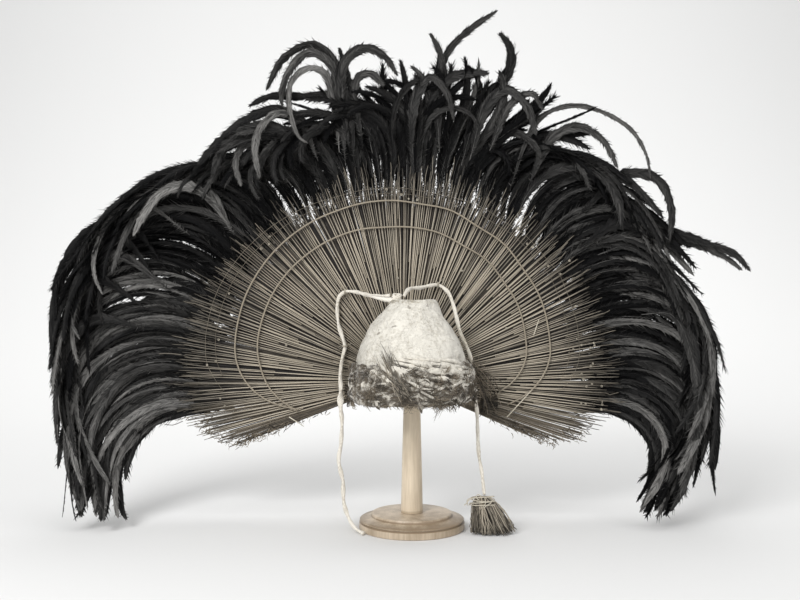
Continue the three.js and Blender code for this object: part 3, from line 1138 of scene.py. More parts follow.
            path = self.around(angle, out, rise)[None]
            swell = np.sin(math.pi * np.clip(steps, 0.03, 0.97)) ** 0.6
            width = half * swell * (1 + 0.4 * lumps(path[0], 0.010, 35))
            outward = path[0] - np.array([0, self.y * MM, 0])
            outward[:, 2] = 0
            pale = float(self.paleness(start + span / 2, height))
            tint = float(np.clip(0.6 - 0.78 * pale + rng.normal(0, 0.3), 0, 1))
            width = np.maximum(width, 0.3) * MM
            turn = rng.uniform(-1, 1)
            bundle.lay(roll, path, width, 0.9 * width, outward[None], turn, tint)
            # Painted shadow: a thin, darkest roll laid just below each fold.
            shadow = path - (0, 0, 1.25 * half * MM)
            bundle.lay(roll, shadow, 0.5 * width, 0.75 * width, outward[None], turn, 1.0)
        bundle.build("cloth_folds", cloth, "frayed_bark")

    def make_fluff(self) -> None:
        """Frays the band into curling clumps of fibre, some of which hang below it."""
        rng = np.random.default_rng(41)
        hair = Strand.model(Section.HAIR, 7)
        bundle = Bundle()
        steps = np.linspace(0, 1, 7)
        taper = np.array([0.7, 1, 1, 0.9, 0.8, 0.6, 0.15])
        for _ in range(self.clumps):
            centre = rng.uniform(-180, 180)
            height = rng.uniform(210, 262)
            heading = rng.normal(-25, 60)
            count = rng.integers(6, 15)
            reach = rng.uniform(7, 22, (count, 1))
            way = np.radians(heading + rng.normal(0, 26, (count, 1)))
            curl = rng.normal(0, 1.6, (count, 1)) * steps
            along = np.cumsum(np.cos(way + curl), 1) / 7 * reach
            rise = np.cumsum(np.sin(way + curl), 1) / 7 * reach
            high = np.clip(height + rng.normal(0, 2, (count, 1)) + rise, 199, 270)
            out = 7.5 + rng.uniform(0, 3.0, (count, 1)) + 2.2 * np.sin(math.pi * steps)
            paths = self.around(centre + rng.normal(0, 2, (count, 1)) + along * 0.6, out, high)
            width = rng.uniform(0.25, 0.6, (count, 1)) * taper
            shade = rng.uniform(0, 1) * 0.6 + rng.uniform(0, 0.4, (count, 1))
            bundle.lay(hair, paths, width * MM, tint=shade)
        self.hang_threads(bundle, hair, rng)
        bundle.build("band_fray", FIBRE.material(), "fibre")

    def hang_threads(self, bundle: Bundle, hair: Strand, rng: np.random.Generator) -> None:
        """Adds the wisps that hang under the band.

        Args:
            bundle: The band's fray.
            hair: The strand to lay.
            rng: The source of chance.
        """
        steps = np.linspace(0, 1, 7)
        long_wisps = ((-66, -7, 26, 3), (-60, -5, 28, 2), (-56, 3, 14, 14), (-64, 4, 12, 12))
        short_wisps = [
            (rng.uniform(-178, 120), rng.normal(0, 4), rng.uniform(5, 11), rng.integers(8, 20))
            for _ in range(self.wisps)
        ]
        for angle, lean, drop, count in (*long_wisps, *short_wisps):
            reach = drop * rng.uniform(0.4, 1.05, (count, 1))
            start = angle + rng.normal(0, 2.5, (count, 1))
            path = self.around(
                start + (lean + rng.normal(0, 3, (count, 1))) * steps,
                5 + rng.normal(0, 1.2, (count, 1)) + 1.5 * np.sin(3 * steps), 210 - reach * steps,
            )
            width = rng.uniform(0.3, 0.6, (count, 1)) * (1 - 0.8 * steps**3)
            bundle.lay(hair, path, width * MM, tint=rng.uniform(0.1, 1.0, (count, 1)))

    def make_grass(self) -> None:
        """Pushes a loose spray of stalks into the front of the band."""
        rng = np.random.default_rng(51)
        stalk = Strand.model(Section.STICK, 6)
        bundle = Bundle()
        steps = np.linspace(0, 1, 6)[:, None]
        for k in range(self.stalks):
            foot = np.array(self.grass_foot) + rng.normal(0, (5, 0.8, 6))
            spread = rng.normal(0, 1)
            tip = np.array([-42 + 7 * spread, -112, 284 + rng.normal(0, 7)])
            if k % 2 == 0:
                tip = np.array([-34 + 12 * spread, -121, 258 + rng.normal(0, 10)])
            middle = (foot + tip) / 2 + np.array([-3, -3, -2]) + rng.normal(0, (3.5, 1, 3.5))
            width = rng.uniform(0.35, 0.8) * np.array([1, 1, 0.95, 0.85, 0.7, 0.3])
            path = bowed_line(foot, middle, tip, steps)
            bundle.lay(stalk, path[None] * MM, width * MM, tint=rng.uniform(0.0, 0.7))
        piece = bundle.build("grass_spray", STICK.material(), "stick")
        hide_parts("grass_tuft")

    def build(self) -> None:
        """Models and dresses the cap."""
        self.make_shell()
        self.make_fray()
        self.make_band()
        self.make_grass()
        LOG.info("cap: shell, band, strips, fray and grass")


# ---- the fan


@dataclass(frozen=True)
class Hoop:
    """A hoop or a row of twining: half its size, its ends in degrees and how they tuck in."""

    half_width: float
    half_height: float
    ends: tuple[float, float]
    tuck: tuple[float, float] = (0.9, 0.9)


@dataclass
class Sticks:
    """One layer of sticks, with values for all or for each.

    Each has an angle, the radii where it starts and ends, and a lightness. A layer has its
    distance back, its sticks' radius, their bow to the side in degrees, the lightness that they
    lose at the outer end and the share of the radius that they lose there.
    """

    angles: np.ndarray
    starts: np.ndarray
    ends: np.ndarray
    tint: np.ndarray
    depth: float
    radius: Any
    sway: float
    fade: Any
    slim: float = 0.3


@dataclass
class Fan:
    """The half-round fan of sticks with its hoops, twining and lashings."""

    x: float = -14
    z: float = 228
    front_ends: Sequence[tuple[float, float]] = (
        (-15, 318), (-8, 350), (130, 348), (160, 374), (190, 376), (198, 345)
    )
    back_ends: Sequence[tuple[float, float]] = (
        (-24, 240), (-19, 318), (-12, 330), (0, 322), (160, 322), (178, 345), (190, 372), (202, 306)
    )
    front_y: float = 76.7
    back_y: float = 82.6
    hoop_x: float = -32
    hoop_z: float = 280
    hoop_y: float = 71.6
    hoops: Sequence[Hoop] = (Hoop(264, 250, (-27, 214)), Hoop(225, 208, (-23, 215), (0.9, 0.4)))
    twines: Sequence[Hoop] = (Hoop(315, 271, (-15, 196)), Hoop(298, 262, (-10, 190)))
    hoop_radius: float = 1.45
    twine_radius: float = 0.34
    long_sticks: int = 138
    front_span: float = 213
    let_in_sticks: int = 380
    back_sticks: int = 300
    back_span: float = 225
    corner_hairs: int = 620
    side_hairs: int = 110
    side_foot: Point = (99, 8, 246)
    side_tip: Point = (122, 50, 214)

    def place(self, angle: Any, radius: Any, y: Any) -> np.ndarray:
        """Points of the fan.

        Args:
            angle: Degrees from +X.
            radius: The distance from where the sticks would meet.
            y: The depth.

        Returns:
            The points, in metres.
        """
        angle, radius, y = np.broadcast_arrays(np.radians(angle), radius, y)
        x = self.x + radius * np.cos(angle)
        return np.stack([x, y, self.z + radius * np.sin(angle)], -1) * MM

    def rays(self, bundle: Bundle, strand: Strand, rng: np.random.Generator, sticks: Sticks) -> None:
        """Lays one layer of sticks.

        Args:
            bundle: Where they go.
            strand: The stick.
            rng: The source of chance.
            sticks: The layer.
        """
        count = len(sticks.angles)
        steps = 1 - (1 - np.linspace(0, 1, strand.rings)) ** 1.7
        reach = sticks.starts[:, None] + (sticks.ends - sticks.starts)[:, None] * steps
        sway = sticks.sway
        bow = rng.normal(0, sway, (count, 1)) * np.sin(math.pi * steps)
        bow = bow + rng.normal(0, 0.45 * sway, (count, 1)) * np.sin(2.7 * math.pi * steps)
        y = sticks.depth + rng.uniform(-0.7, 0.7, (count, 1)) + 0 * steps
        paths = self.place(sticks.angles[:, None] + bow, reach, y)
        slender = 1 - sticks.slim * np.clip((reach - 180) / 120, 0, 1)
        width = np.reshape(sticks.radius, (-1, 1)) * rng.uniform(0.78, 1.15, (count, 1)) * slender
        width[:, -1] *= 0.6
        dim = 1 - np.reshape(sticks.fade, (-1, 1)) * np.clip((reach - 262) / 60, 0, 1)
        turn = rng.uniform(0, 6, (count, 1))
        bundle.lay(strand, paths, width * MM, turn=turn, tint=sticks.tint[:, None] * dim)

    def make_front(self) -> None:
        """Lays the front sticks: long ones from the boss, and shorter ones let in between."""
        rng = np.random.default_rng(101)
        stick = Strand.model(Section.STICK, 6)
        bundle = Bundle()
        pitch = self.front_span / self.long_sticks
        for shift, low, high, radius in ((0.0, 42.5, 75, 1.15), (0.5, 118, 225, 1.0)):
            count = self.long_sticks - 1 if shift else self.long_sticks
            angles = -15.2 + pitch * (np.arange(count) + shift) + rng.normal(0, 0.22, count)
            starts = rng.uniform(low, high, count)
            ends = np.interp(angles, *np.array(self.front_ends).T) + rng.normal(-6, 10, count)
            tint = np.clip(rng.normal(0.80, 0.22, count), 0.1, 1)
            layer = Sticks(angles, starts, ends, tint, self.front_y, radius, 0.22, 0.6)
            self.rays(bundle, stick, rng, layer)
        count = self.let_in_sticks
        angles = rng.uniform(-14, 191, count)
        ends = np.interp(angles, *np.array(self.front_ends).T) + rng.normal(0, 16, count)
        tint = rng.uniform(0.0, 1, count) ** 2.0
        starts = ends - rng.uniform(30, 75, count)
        layer = Sticks(angles, starts, ends, tint, self.front_y + 2.6, 0.85, 0.3, 0.5)
        self.rays(bundle, stick, rng, layer)
        piece = bundle.build("front_sticks", STICK.material(), "stick")
        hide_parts(*[f"front_sticks_{k}" for k in range(1, 9)])

    def make_back(self) -> None:
        """Lays the darker, ragged sticks behind, in two staggered rows."""
        rng = np.random.default_rng(103)
        stick = Strand.model(Section.STICK, 5)
        bundle = Bundle()
        count = self.back_sticks
        pitch = self.back_span / count
        for row in (0, 1):
            angles = -23.6 + pitch * (np.arange(count) + 0.5 * row) + rng.normal(0, 0.12, count)
            angles = np.clip(angles, -23.9, 201.9)
            starts = rng.uniform(42.5, 60, count)
            outer = np.abs(angles - 89) > 98
            ends = np.interp(angles, *np.array(self.back_ends).T) + rng.normal(-3, 6, count)
            ends = ends - np.where(outer, rng.gamma(1.0, 9, count), 0)
            tint = np.clip(rng.normal(0.14, 0.18, count) + 0.5 * outer, 0, 1)
            radius = np.where(outer, 1.2, 1.9)
            depth = self.back_y - 1.0 + 2.1 * row
            fade = 0.8 - 0.8 * outer
            layer = Sticks(angles, starts, ends, tint, depth, radius, 0.08, fade, slim=0.0)
            self.rays(bundle, stick, rng, layer)
        piece = bundle.build("back_sticks", SHADED_STICK.material(), "dark_stick")
        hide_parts(*[f"back_sticks_{k}" for k in range(1, 7)])
        self.make_corner_fray(rng)

    def make_corner_fray(self, rng: np.random.Generator) -> None:
        """Frays the lower edges of the back layer into pale and dark fibre.

        Args:
            rng: The source of chance.
        """
        hair = Strand.model(Section.HAIR, 6)
        bundle = Bundle()
        count = self.corner_hairs
        left = rng.random(count) < 0.55
        share = rng.beta(2.2, 1.1, (count, 1))
        angle = np.where(left[:, None], 200.9, -22.2) + rng.normal(0, 0.9, (count, 1))
        reach = 110 + np.where(left[:, None], 190, 165) * share
        edge = rng.random((count, 1)) < 0.45
        around = np.where(left[:, None], 1.0, -1.0)
        angle = np.where(edge, angle - around * rng.uniform(0, 11, (count, 1)), angle)
        rim = np.interp(angle, *np.array(self.back_ends).T)
        reach = np.where(edge, rim - rng.uniform(4, 45, (count, 1)), reach)
        steps = np.linspace(0, 1, 6)
        length = rng.uniform(4, 12, (count, 1))
        way = np.where(edge, 0, 0.5) * around * rng.normal(0.5, 0.8, (count, 1))
        swirl = rng.normal(0, 1.0, (count, 1)) * steps
        out = np.cumsum(np.cos(way + swirl), 1) / 6 * length
        turn = np.degrees(np.cumsum(np.sin(way + swirl), 1) / 6 * length / reach)
        depth = rng.uniform(self.front_y - 0.5, self.back_y + 2, (count, 1)) - 1.5 * steps
        width = rng.uniform(0.35, 0.95, (count, 1)) * (1 - 0.75 * steps**2)
        paths = self.place(angle + turn, reach + out, depth)
        bundle.lay(hair, paths, width * MM, tint=rng.uniform(0.1, 1.0, (count, 1)))
        bundle.build("corner_fray", FIBRE.material(), "fibre")

    def hoop_line(self, hoop: Hoop, count: int) -> np.ndarray:
        """The line of a hoop, which tucks in at its two lower ends.

        Args:
            hoop: The hoop.
            count: How many points.

        Returns:
            The points, in metres.
        """
        turn = np.radians(np.linspace(*hoop.ends, count))
        tuck = np.where(np.cos(turn) > 0, hoop.tuck[0], hoop.tuck[1])
        draw = 1 - tuck * np.maximum(0, -np.sin(turn)) ** 2
        x = self.hoop_x + hoop.half_width * draw * np.cos(turn)
        z = self.hoop_z + hoop.half_height * draw * np.sin(turn)
        line = np.stack([x, np.full(count, self.hoop_y), z], 1) * MM
        wobble = lumps(line, 0.05, 61)[:, None] * np.array([0.9, 0.15, 0.9]) * MM
        return line + wobble

    def make_hoops(self) -> None:
        """Bends the two cane hoops over the sticks, and twines threads beyond them."""
        bundle = Bundle()
        rings = 150
        cane = Strand.model(Section.STICK, rings)
        for hoop in self.hoops:
            line = self.hoop_line(hoop, rings)[None]
            bundle.lay(cane, line, np.full(rings, self.hoop_radius) * MM, tint=0.48)
        piece = bundle.build("cane_hoops", CANE.material(), "cane")
        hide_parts("outer_hoop", "inner_hoop")
        bundle = Bundle()
        rings = 700
        twine = Strand.model(Section.HAIR, rings)
        weave = np.arange(rings) * math.pi / 2.5
        for hoop, tint in zip(self.twines, (0.2, 0.05)):
            for side in (-1, 1):
                line = self.hoop_line(hoop, rings)
                line[:, 1] = (self.front_y - 1.1 + side * 0.9 * np.sin(weave)) * MM
                line = line + lumps(line, 0.03, 63)[:, None] * np.array([0.6, 0, 0.6]) * MM
                width = np.full(rings, self.twine_radius)
                bundle.lay(twine, line[None], width * MM, tint=tint)
        self.make_knots(bundle, np.random.default_rng(107))
        bundle.build("twining", THREAD.material(), "cord")

    def make_knots(self, bundle: Bundle, rng: np.random.Generator) -> None:
        """Ties small knots of pale thread to the sticks.

        Args:
            bundle: Where they go.
            rng: The source of chance.
        """
        hair = Strand.model(Section.HAIR, 8)
        steps = np.linspace(0, 1, 8)
        places = [(93, 173), (84, 173), (128, 170), (27, 195), (163, 205), (62, 210)]
        places += [(a, rng.uniform(300, 345)) for a in rng.uniform(-10, 190, 26)]
        places += [(a, rng.uniform(290, 340)) for a in rng.uniform(-12, 14, 14)]
        count = 4
        for angle, radius in places:
            spin = rng.uniform(0, 6, (count, 1)) + steps * rng.uniform(3, 8, (count, 1))
            size = rng.uniform(0.7, 2.0, (count, 1)) * (0.6 + 0.6 * steps)
            loop = np.stack([np.cos(spin), 0.25 * np.sin(2 * spin), np.sin(spin)], -1)
            path = self.place(angle, radius, self.front_y - 2.2) + loop * (size[..., None] * MM)
            bundle.lay(hair, path, np.full(8, 0.42) * MM, tint=rng.uniform(0.3, 0.8, (count, 1)))

    def make_hub(self) -> None:
        """Models the boss: a turned disc wound with cord, ring beside ring."""
        profile = [(42.0, 79.4)]
        for k in range(13):
            radius = 41 - 3 * k
            profile += [(radius, 85.6 + 0.3 * k), (radius - 1.5, 86.8 + 0.3 * k)]
        rows = [(40, 72.1, 0), (42, 75, 0)] + [(r, y, 0) for r, y in profile]
        piece = Turning(rows, 72).model()
        points = get_points(piece)
        x = self.x * MM + points[:, 0]
        z = self.z * MM - points[:, 1]
        set_points(piece, np.stack([x, points[:, 2], z], 1))
        shade_smooth(piece)
        set_tint(piece, 0.4 + 0.1 * lumps(get_points(piece), 0.02, 71))
        settle(piece, "wound_boss", FIBRE.material())
        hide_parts("fan_hub")

    def make_lashings(self) -> None:
        """Binds the fan's lower corners with dark fibre."""
        rng = np.random.default_rng(109)
        hair = Strand.model(Section.HAIR, 9)
        steps = np.linspace(0, 1, 9)
        for node, x, middle, half_width, half_height, count in (
            ("lashing_left", -101, 212, 10.5, 14, 130), ("lashing_right", 129, 190, 16, 20, 260)
        ):
            bundle = Bundle()
            turn = rng.uniform(0, 2 * math.pi, (count, 1))
            turn = turn + steps * rng.uniform(0.8, 2.6, (count, 1))
            girth = rng.uniform(0.35, 1, (count, 1))
            tilt = rng.normal(0, 0.5, (count, 1))
            across = girth * half_width * np.cos(turn)
            away = girth * 11.5 * np.sin(turn)
            up = rng.uniform(-0.85, 0.85, (count, 1)) * half_height * (1 - 0.35 * girth)
            up = up + tilt * across + rng.normal(0, 1, (count, 1)) * steps
            up = np.clip(up, -half_height, half_height)
            path = np.stack([x + across, 61.7 + away, middle + up], -1) * MM
            bundle.lay(hair, path, np.full(9, 0.75) * MM, tint=rng.uniform(0, 0.45, (count, 1)))
            piece = bundle.build(f"{node}_fibres", FIBRE.material(), "fibre")
            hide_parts(node)

    def make_strays(self) -> None:
        """Lays a few loose pale sticks and the fibre that sweeps from the band to the right."""
        rng = np.random.default_rng(113)
        bundle = Bundle()
        stick = Strand.model(Section.STICK, 4)
        steps = np.linspace(0, 1, 4)[:, None]
        for start, end in (
            ((210, 71, 222), (160, 70, 168)), ((214, 72, 332), (205, 72, 305)),
            ((-180, 72, 152), (-205, 72, 168)),
        ):
            path = (np.array(start) * (1 - steps) + np.array(end) * steps)[None] * MM
            bundle.lay(stick, path, np.array([0.5, 0.7, 0.9, 1.1]) * MM, tint=0.98)
        bundle.build("stray_sticks", THREAD.material(), "stick")
        bundle = Bundle()
        hair = Strand.model(Section.HAIR, 7)
        steps = np.linspace(0, 1, 7)[:, None]
        for _ in range(self.side_hairs):
            foot = np.array(self.side_foot) + rng.normal(0, (2, 5, 9))
            foot[0] = max(foot[0], 95)
            tip = np.array(self.side_tip) + rng.normal(0, (14, 9, 17))
            tip[1] = min(tip[1], 71)
            middle = (foot + tip) / 2 + np.array([5, -2, 6]) + rng.normal(0, 7, 3)
            path = bowed_line(foot, middle, tip, steps)
            width = np.full(len(steps), rng.uniform(0.3, 0.55))
            bundle.lay(hair, path[None] * MM, width * MM, tint=rng.random())
        bundle.build("side_fibres", FIBRE.material(), "fibre")

    def build(self) -> None:
        """Models and dresses the fan."""
        self.make_front()
        self.make_back()
        self.make_hoops()
        self.make_hub()
        self.make_lashings()
        self.make_strays()
        LOG.info("fan: sticks, hoops, twining, boss and lashings")


# ---- feathers


@dataclass(frozen=True)
class Streamline:
    """A line that feathers flow along: the angle where it leaves the fan, its length, its
    heading at root and tip, and how far forward it leans."""

    at: float
    length: float
    root: float
    tip: float
    lean: float


@dataclass(frozen=True)
class LoneFeather:
    """A feather that stands out from the mass, by the points (x, z) that it passes through."""

    route: Sequence[tuple[float, float]]
    start_y: float
    end_y: float
    half_width: float
    tint: float
    turn: float = 0.0


STREAMLINES = (
    Streamline(-10, 255, 8, -112, 112), Streamline(-1, 335, 16, -118, 115),
    Streamline(13, 425, 14, -115, 108), Streamline(25, 425, 30, -108, 98),
    Streamline(36, 290, 42, -55, 80), Streamline(49, 345, 72, -55, 70),
    Streamline(61, 300, 84, -24, 60), Streamline(72, 245, 80, 20, 55), Streamline(82, 240, 96, 60, 50),
    Streamline(93, 225, 86, 120, 50), Streamline(104, 250, 90, 165, 60),
    Streamline(115, 275, 100, 200, 70), Streamline(127, 355, 110, 222, 75),
    Streamline(138, 450, 122, 243, 80), Streamline(149, 450, 129, 257, 90),
    Streamline(160, 520, 143, 283, 100), Streamline(171, 475, 153, 286, 112),
    Streamline(182, 392, 161, 280, 150), Streamline(191, 280, 171, 262, 120),
)

LONE_FEATHERS = (
    LoneFeather(
        ((-95, 590), (-105, 680), (-130, 760), (-165, 785), (-210, 760), (-238, 705)), 70, 30, 11, 0.16
    ),
    LoneFeather(
        ((-110, 590), (-118, 680), (-132, 752), (-168, 772), (-202, 738), (-213, 690), (-209, 678)), 66,
        24, 10, 0.24,
    ),
    LoneFeather(
        (
            (-120, 610), (-129, 700), (-145, 740), (-170, 746), (-197, 722), (-200, 680), (-184, 630),
            (-168, 618),
        ),
        62, 20, 12, 0.44, 0.5,
    ),
    LoneFeather(
        ((-65, 610), (-88, 690), (-135, 702), (-185, 700), (-235, 698), (-268, 680)), 72, 34, 10, 0.08
    ),
    LoneFeather(
        ((-155, 595), (-185, 660), (-218, 672), (-248, 645), (-255, 605), (-246, 560)), 58, 18, 10,
        0.38, 0.4,
    ),
    LoneFeather(((-200, 555), (-248, 612), (-276, 618), (-288, 588), (-277, 548)), 60, 24, 8, 0.29),
    LoneFeather(((-80, 610), (-98, 705), (-120, 782)), 74, 50, 8, 0.08),
    LoneFeather(
        ((-102, 610), (-118, 705), (-110, 758), (-77, 778), (-44, 762), (-22, 728)), 64, 26, 11, 0.18
    ),
    LoneFeather(((-82, 630), (-95, 696), (-88, 730), (-68, 735), (-44, 713)), 60, 30, 9, 0.21),
    LoneFeather(((22, 598), (30, 695), (62, 778), (98, 812), (142, 840)), 76, 40, 8.5, 0.16),
    LoneFeather(((47, 612), (44, 680), (50, 738), (47, 770), (30, 802)), 70, 36, 8, 0.18),
    LoneFeather(
        ((84, 590), (105, 662), (130, 704), (154, 730), (164, 755), (160, 780), (142, 800)), 72, 28, 12,
        0.11,
    ),
    LoneFeather(((15, 645), (34, 704), (64, 730), (97, 737), (127, 733)), 68, 30, 12, 0.13),
    LoneFeather(((0, 612), (6, 696), (30, 730), (56, 705), (69, 655)), 60, 22, 10, 0.19),
    LoneFeather(((97, 597), (122, 680), (155, 710), (188, 680), (202, 630)), 62, 20, 11, 0.19),
    LoneFeather(((130, 612), (164, 688), (197, 702), (214, 672)), 58, 24, 9, 0.21),
    LoneFeather(
        (
            (164, 547), (192, 630), (216, 668), (262, 684), (308, 674), (358, 642), (382, 597),
            (386, 560),
        ),
        66, 16, 5.5, 0.29,
    ),
    LoneFeather(((195, 555), (232, 632), (276, 648), (314, 622), (334, 577)), 60, 20, 11, 0.22),
    LoneFeather(((280, 450), (345, 492), (420, 478), (496, 452)), 70, 30, 12, 0.11),
    LoneFeather(((313, 440), (396, 468), (472, 458), (528, 440), (552, 410)), 72, 26, 12, 0.14),
    LoneFeather(((300, 455), (372, 474), (446, 464), (512, 436), (540, 412)), 66, 30, 10, 0.21),
    LoneFeather(((280, 505), (354, 572), (404, 563), (424, 515), (419, 458)), 64, 22, 11, 0.16),
    LoneFeather(
        ((-294, 472), (-335, 538), (-372, 551), (-408, 538), (-436, 497), (-448, 466)), 56, 6, 12.5,
        0.48, 0.5,
    ),
    LoneFeather(
        ((-368, 472), (-443, 522), (-486, 506), (-515, 447), (-514, 405), (-497, 372)), 58, 8, 5, 0.42
    ),
    LoneFeather(
        ((-400, 380), (-482, 438), (-530, 430), (-553, 380), (-552, 332), (-532, 300)), 56, 4, 8, 0.29
    ),
    LoneFeather(((-434, 315), (-520, 332), (-562, 285), (-572, 205), (-570, 160)), 52, 0, 10, 0.16),
    LoneFeather(((385, 395), (430, 392), (453, 330), (460, 235), (462, 140)), 56, -2, 10, 0.16),
    LoneFeather(((380, 340), (425, 340), (452, 280), (458, 190), (446, 90)), 50, -12, 9, 0.19),
    LoneFeather(
        ((-145, 596), (-186, 662), (-236, 676), (-286, 650), (-330, 606), (-348, 582)), 64, 24, 12, 0.08
    ),
    LoneFeather(((-165, 588), (-208, 640), (-262, 646), (-308, 608), (-324, 566)), 60, 20, 13, 0.14),
    LoneFeather(((-175, 572), (-226, 618), (-282, 626), (-336, 594), (-362, 560)), 62, 26, 12, 0.05),
    LoneFeather(
        ((-420, 396), (-486, 470), (-540, 446), (-572, 390), (-582, 330), (-578, 278)), 54, 6, 9, 0.10
    ),
    LoneFeather(
        ((-410, 420), (-470, 490), (-522, 484), (-560, 440), (-578, 384), (-576, 330)), 58, 14, 9, 0.05
    ),
    LoneFeather(((-440, 350), (-520, 400), (-560, 372), (-578, 310), (-574, 250)), 52, 0, 9, 0.12),
)


@dataclass
class FeatherShape:
    """The strands that a feather is laid from, and where along it their rings lie."""

    shares: np.ndarray
    barbs: int
    growth: float
    fringe: Sequence[float]
    blade: Strand = field(init=False)
    quill: Strand = field(init=False)
    barb: Strand = field(init=False)

    def __post_init__(self) -> None:
        """Models the strands."""
        self.blade = Strand.model(Section.BLADE, len(self.shares))
        self.quill = Strand.model(Section.HAIR, len(self.shares))
        self.barb = Strand.model_point()

    @classmethod
    def with_rings(
        cls, rings: int, barbs: int, growth: float, fringe: Sequence[float]
    ) -> "FeatherShape":
        """Spaces a feather's rings, closer together at its blunt tip.

        Args:
            rings: How many rings.
            barbs: How many loose barbs.
            growth: The share of the length over which the vane widens.
            fringe: How far the barbs may stand out of the vane, in millimetres.

        Returns:
            The shape.
        """
        even = np.linspace(0, 1, rings)
        return cls(even + 0.16 * np.sin(math.pi * even) * even, barbs, growth, fringe)

    def vane(self, share: np.ndarray, blunt: np.ndarray) -> np.ndarray:
        """A vane's half width along the feather, over its greatest.

        Args:
            share: The share of the feather's length.
            blunt: The share of the length over which its tip rounds off.

        Returns:
            The half width there, 0 to 1.
        """
        grow = np.clip((share - 0.03) / self.growth, 0, 1) ** 0.8
        body = 1 - 0.34 * np.clip((share - 0.4) / 0.6, 0, 1)
        tip = np.sqrt(1 - np.clip((share - 1 + blunt) / blunt, 0, 1) ** 2)
        return np.maximum(grow * body * tip, 0.03)


@dataclass
class FeatherBed:
    """Feathers of one shape that are laid into one mesh, in millimetres."""

    bundle: Bundle
    rng: np.random.Generator
    shape: FeatherShape

    def lay(self, paths: np.ndarray, half: np.ndarray, turn: np.ndarray, tint: np.ndarray) -> None:
        """Lays feathers: for each a quill, a vane with a ridge, and barbs along both edges.

        Args:
            paths: The quills' lines, (feathers, rings, 3).
            half: Each feather's greatest half width.
            turn: How far each is turned about its quill.
            tint: Each feather's lightness.
        """
        rng, count, share = self.rng, len(paths), self.shape.shares
        blunt = rng.uniform(0.10, 0.34, (count, 1))
        ragged = 1 + rng.normal(0, 0.13, (count, len(share)))
        width = self.shape.vane(share, blunt) * half[:, None] * ragged * 0.82
        roll = turn[:, None] + rng.normal(0, 0.35, (count, 1)) * share
        shade = tint[:, None] * (0.75 + 0.5 * share)
        thick = (0.2 + 0.13 * width) * MM
        vane_tint = np.clip(shade, 0, 1)
        blade = self.shape.blade
        self.bundle.lay(blade, paths * MM, width * MM, thick, turn=roll, tint=vane_tint, crisp=True)
        quill = (1.0 - 0.85 * share) * 0.8
        thick = (quill + 0.3 + 0.11 * width) * MM
        bright = rng.choice((0.0, 0.1, 0.55), (count, 1)) * (1 - share)
        quill_tint = np.clip(shade + bright, 0, 1)
        self.bundle.lay(self.shape.quill, paths * MM, quill * MM, thick, turn=roll, tint=quill_tint)
        self.lay_barbs(paths, half[:, None], blunt, roll, tint)

    def lay_barbs(
        self, paths: np.ndarray, half: np.ndarray, blunt: np.ndarray, roll: np.ndarray, tint: np.ndarray
    ) -> None:
        """Sets loose barbs along the edges of feathers, and down at their roots.

        Args:
            paths: The quills' lines.
            half: Each feather's greatest half width.
            blunt: The share over which each tip rounds off.
            roll: How far each ring is turned about its quill.
            tint: Each feather's lightness.
        """
        rng, shape = self.rng, self.shape
        count, barbs = len(paths), shape.barbs
        share = np.sort(rng.uniform(0.02, 0.985, (count, barbs)), 1)
        low = np.clip(np.searchsorted(shape.shares, share) - 1, 0, len(shape.shares) - 2)
        span = shape.shares[low + 1] - shape.shares[low]
        part = ((share - shape.shares[low]) / span)[..., None]
        rows = np.arange(count)[:, None]
        start = paths[rows, low] * (1 - part) + paths[rows, low + 1] * part
        tangent = paths[rows, low + 1] - paths[rows, low]
        tangent /= np.linalg.norm(tangent, axis=2, keepdims=True)
        front = np.array([0, -1.0, 0]) + tangent * tangent[..., 1:2]
        front /= np.maximum(np.linalg.norm(front, axis=2, keepdims=True), 1e-9)
        side = np.cross(front, tangent)
        spin = roll[rows, low][..., None]
        side = np.cos(spin) * side + np.sin(spin) * front
        hand = np.where(np.arange(barbs) % 2, 1.0, -1.0)[None, :, None]
        vane = (shape.vane(share, blunt) * half)[..., None]
        downy = (share < 0.16)[..., None]
        fringe = rng.choice(shape.fringe, (count, 1, 1))
        reach = np.where(downy, 8.0, vane + fringe) * rng.uniform(0.7, 1.25, (count, barbs, 1))
        slant = np.radians(np.where(downy, 62, 30) + rng.normal(0, 7, (count, barbs, 1)))
        way = np.cos(slant) * tangent + np.sin(slant) * hand * side
        base = start + hand * side * np.where(downy, 0, vane * 0.5)
        tip = base + way * reach - front * rng.normal(0.3, 0.8, (count, barbs, 1))
        both = np.stack([base, tip], 2).reshape(-1, 2, 3)
        widths = rng.uniform(0.6, 1.3, (count * barbs, 1)) * np.array([1, 0.1])
        shade = np.repeat(tint, barbs)[:, None] + rng.normal(0.0, 0.08, (count * barbs, 1))
        shade = np.clip(shade, 0, 1)
        self.bundle.lay(shape.barb, both * MM, widths * MM, facing=(0.1, -1, 0.2), tint=shade)


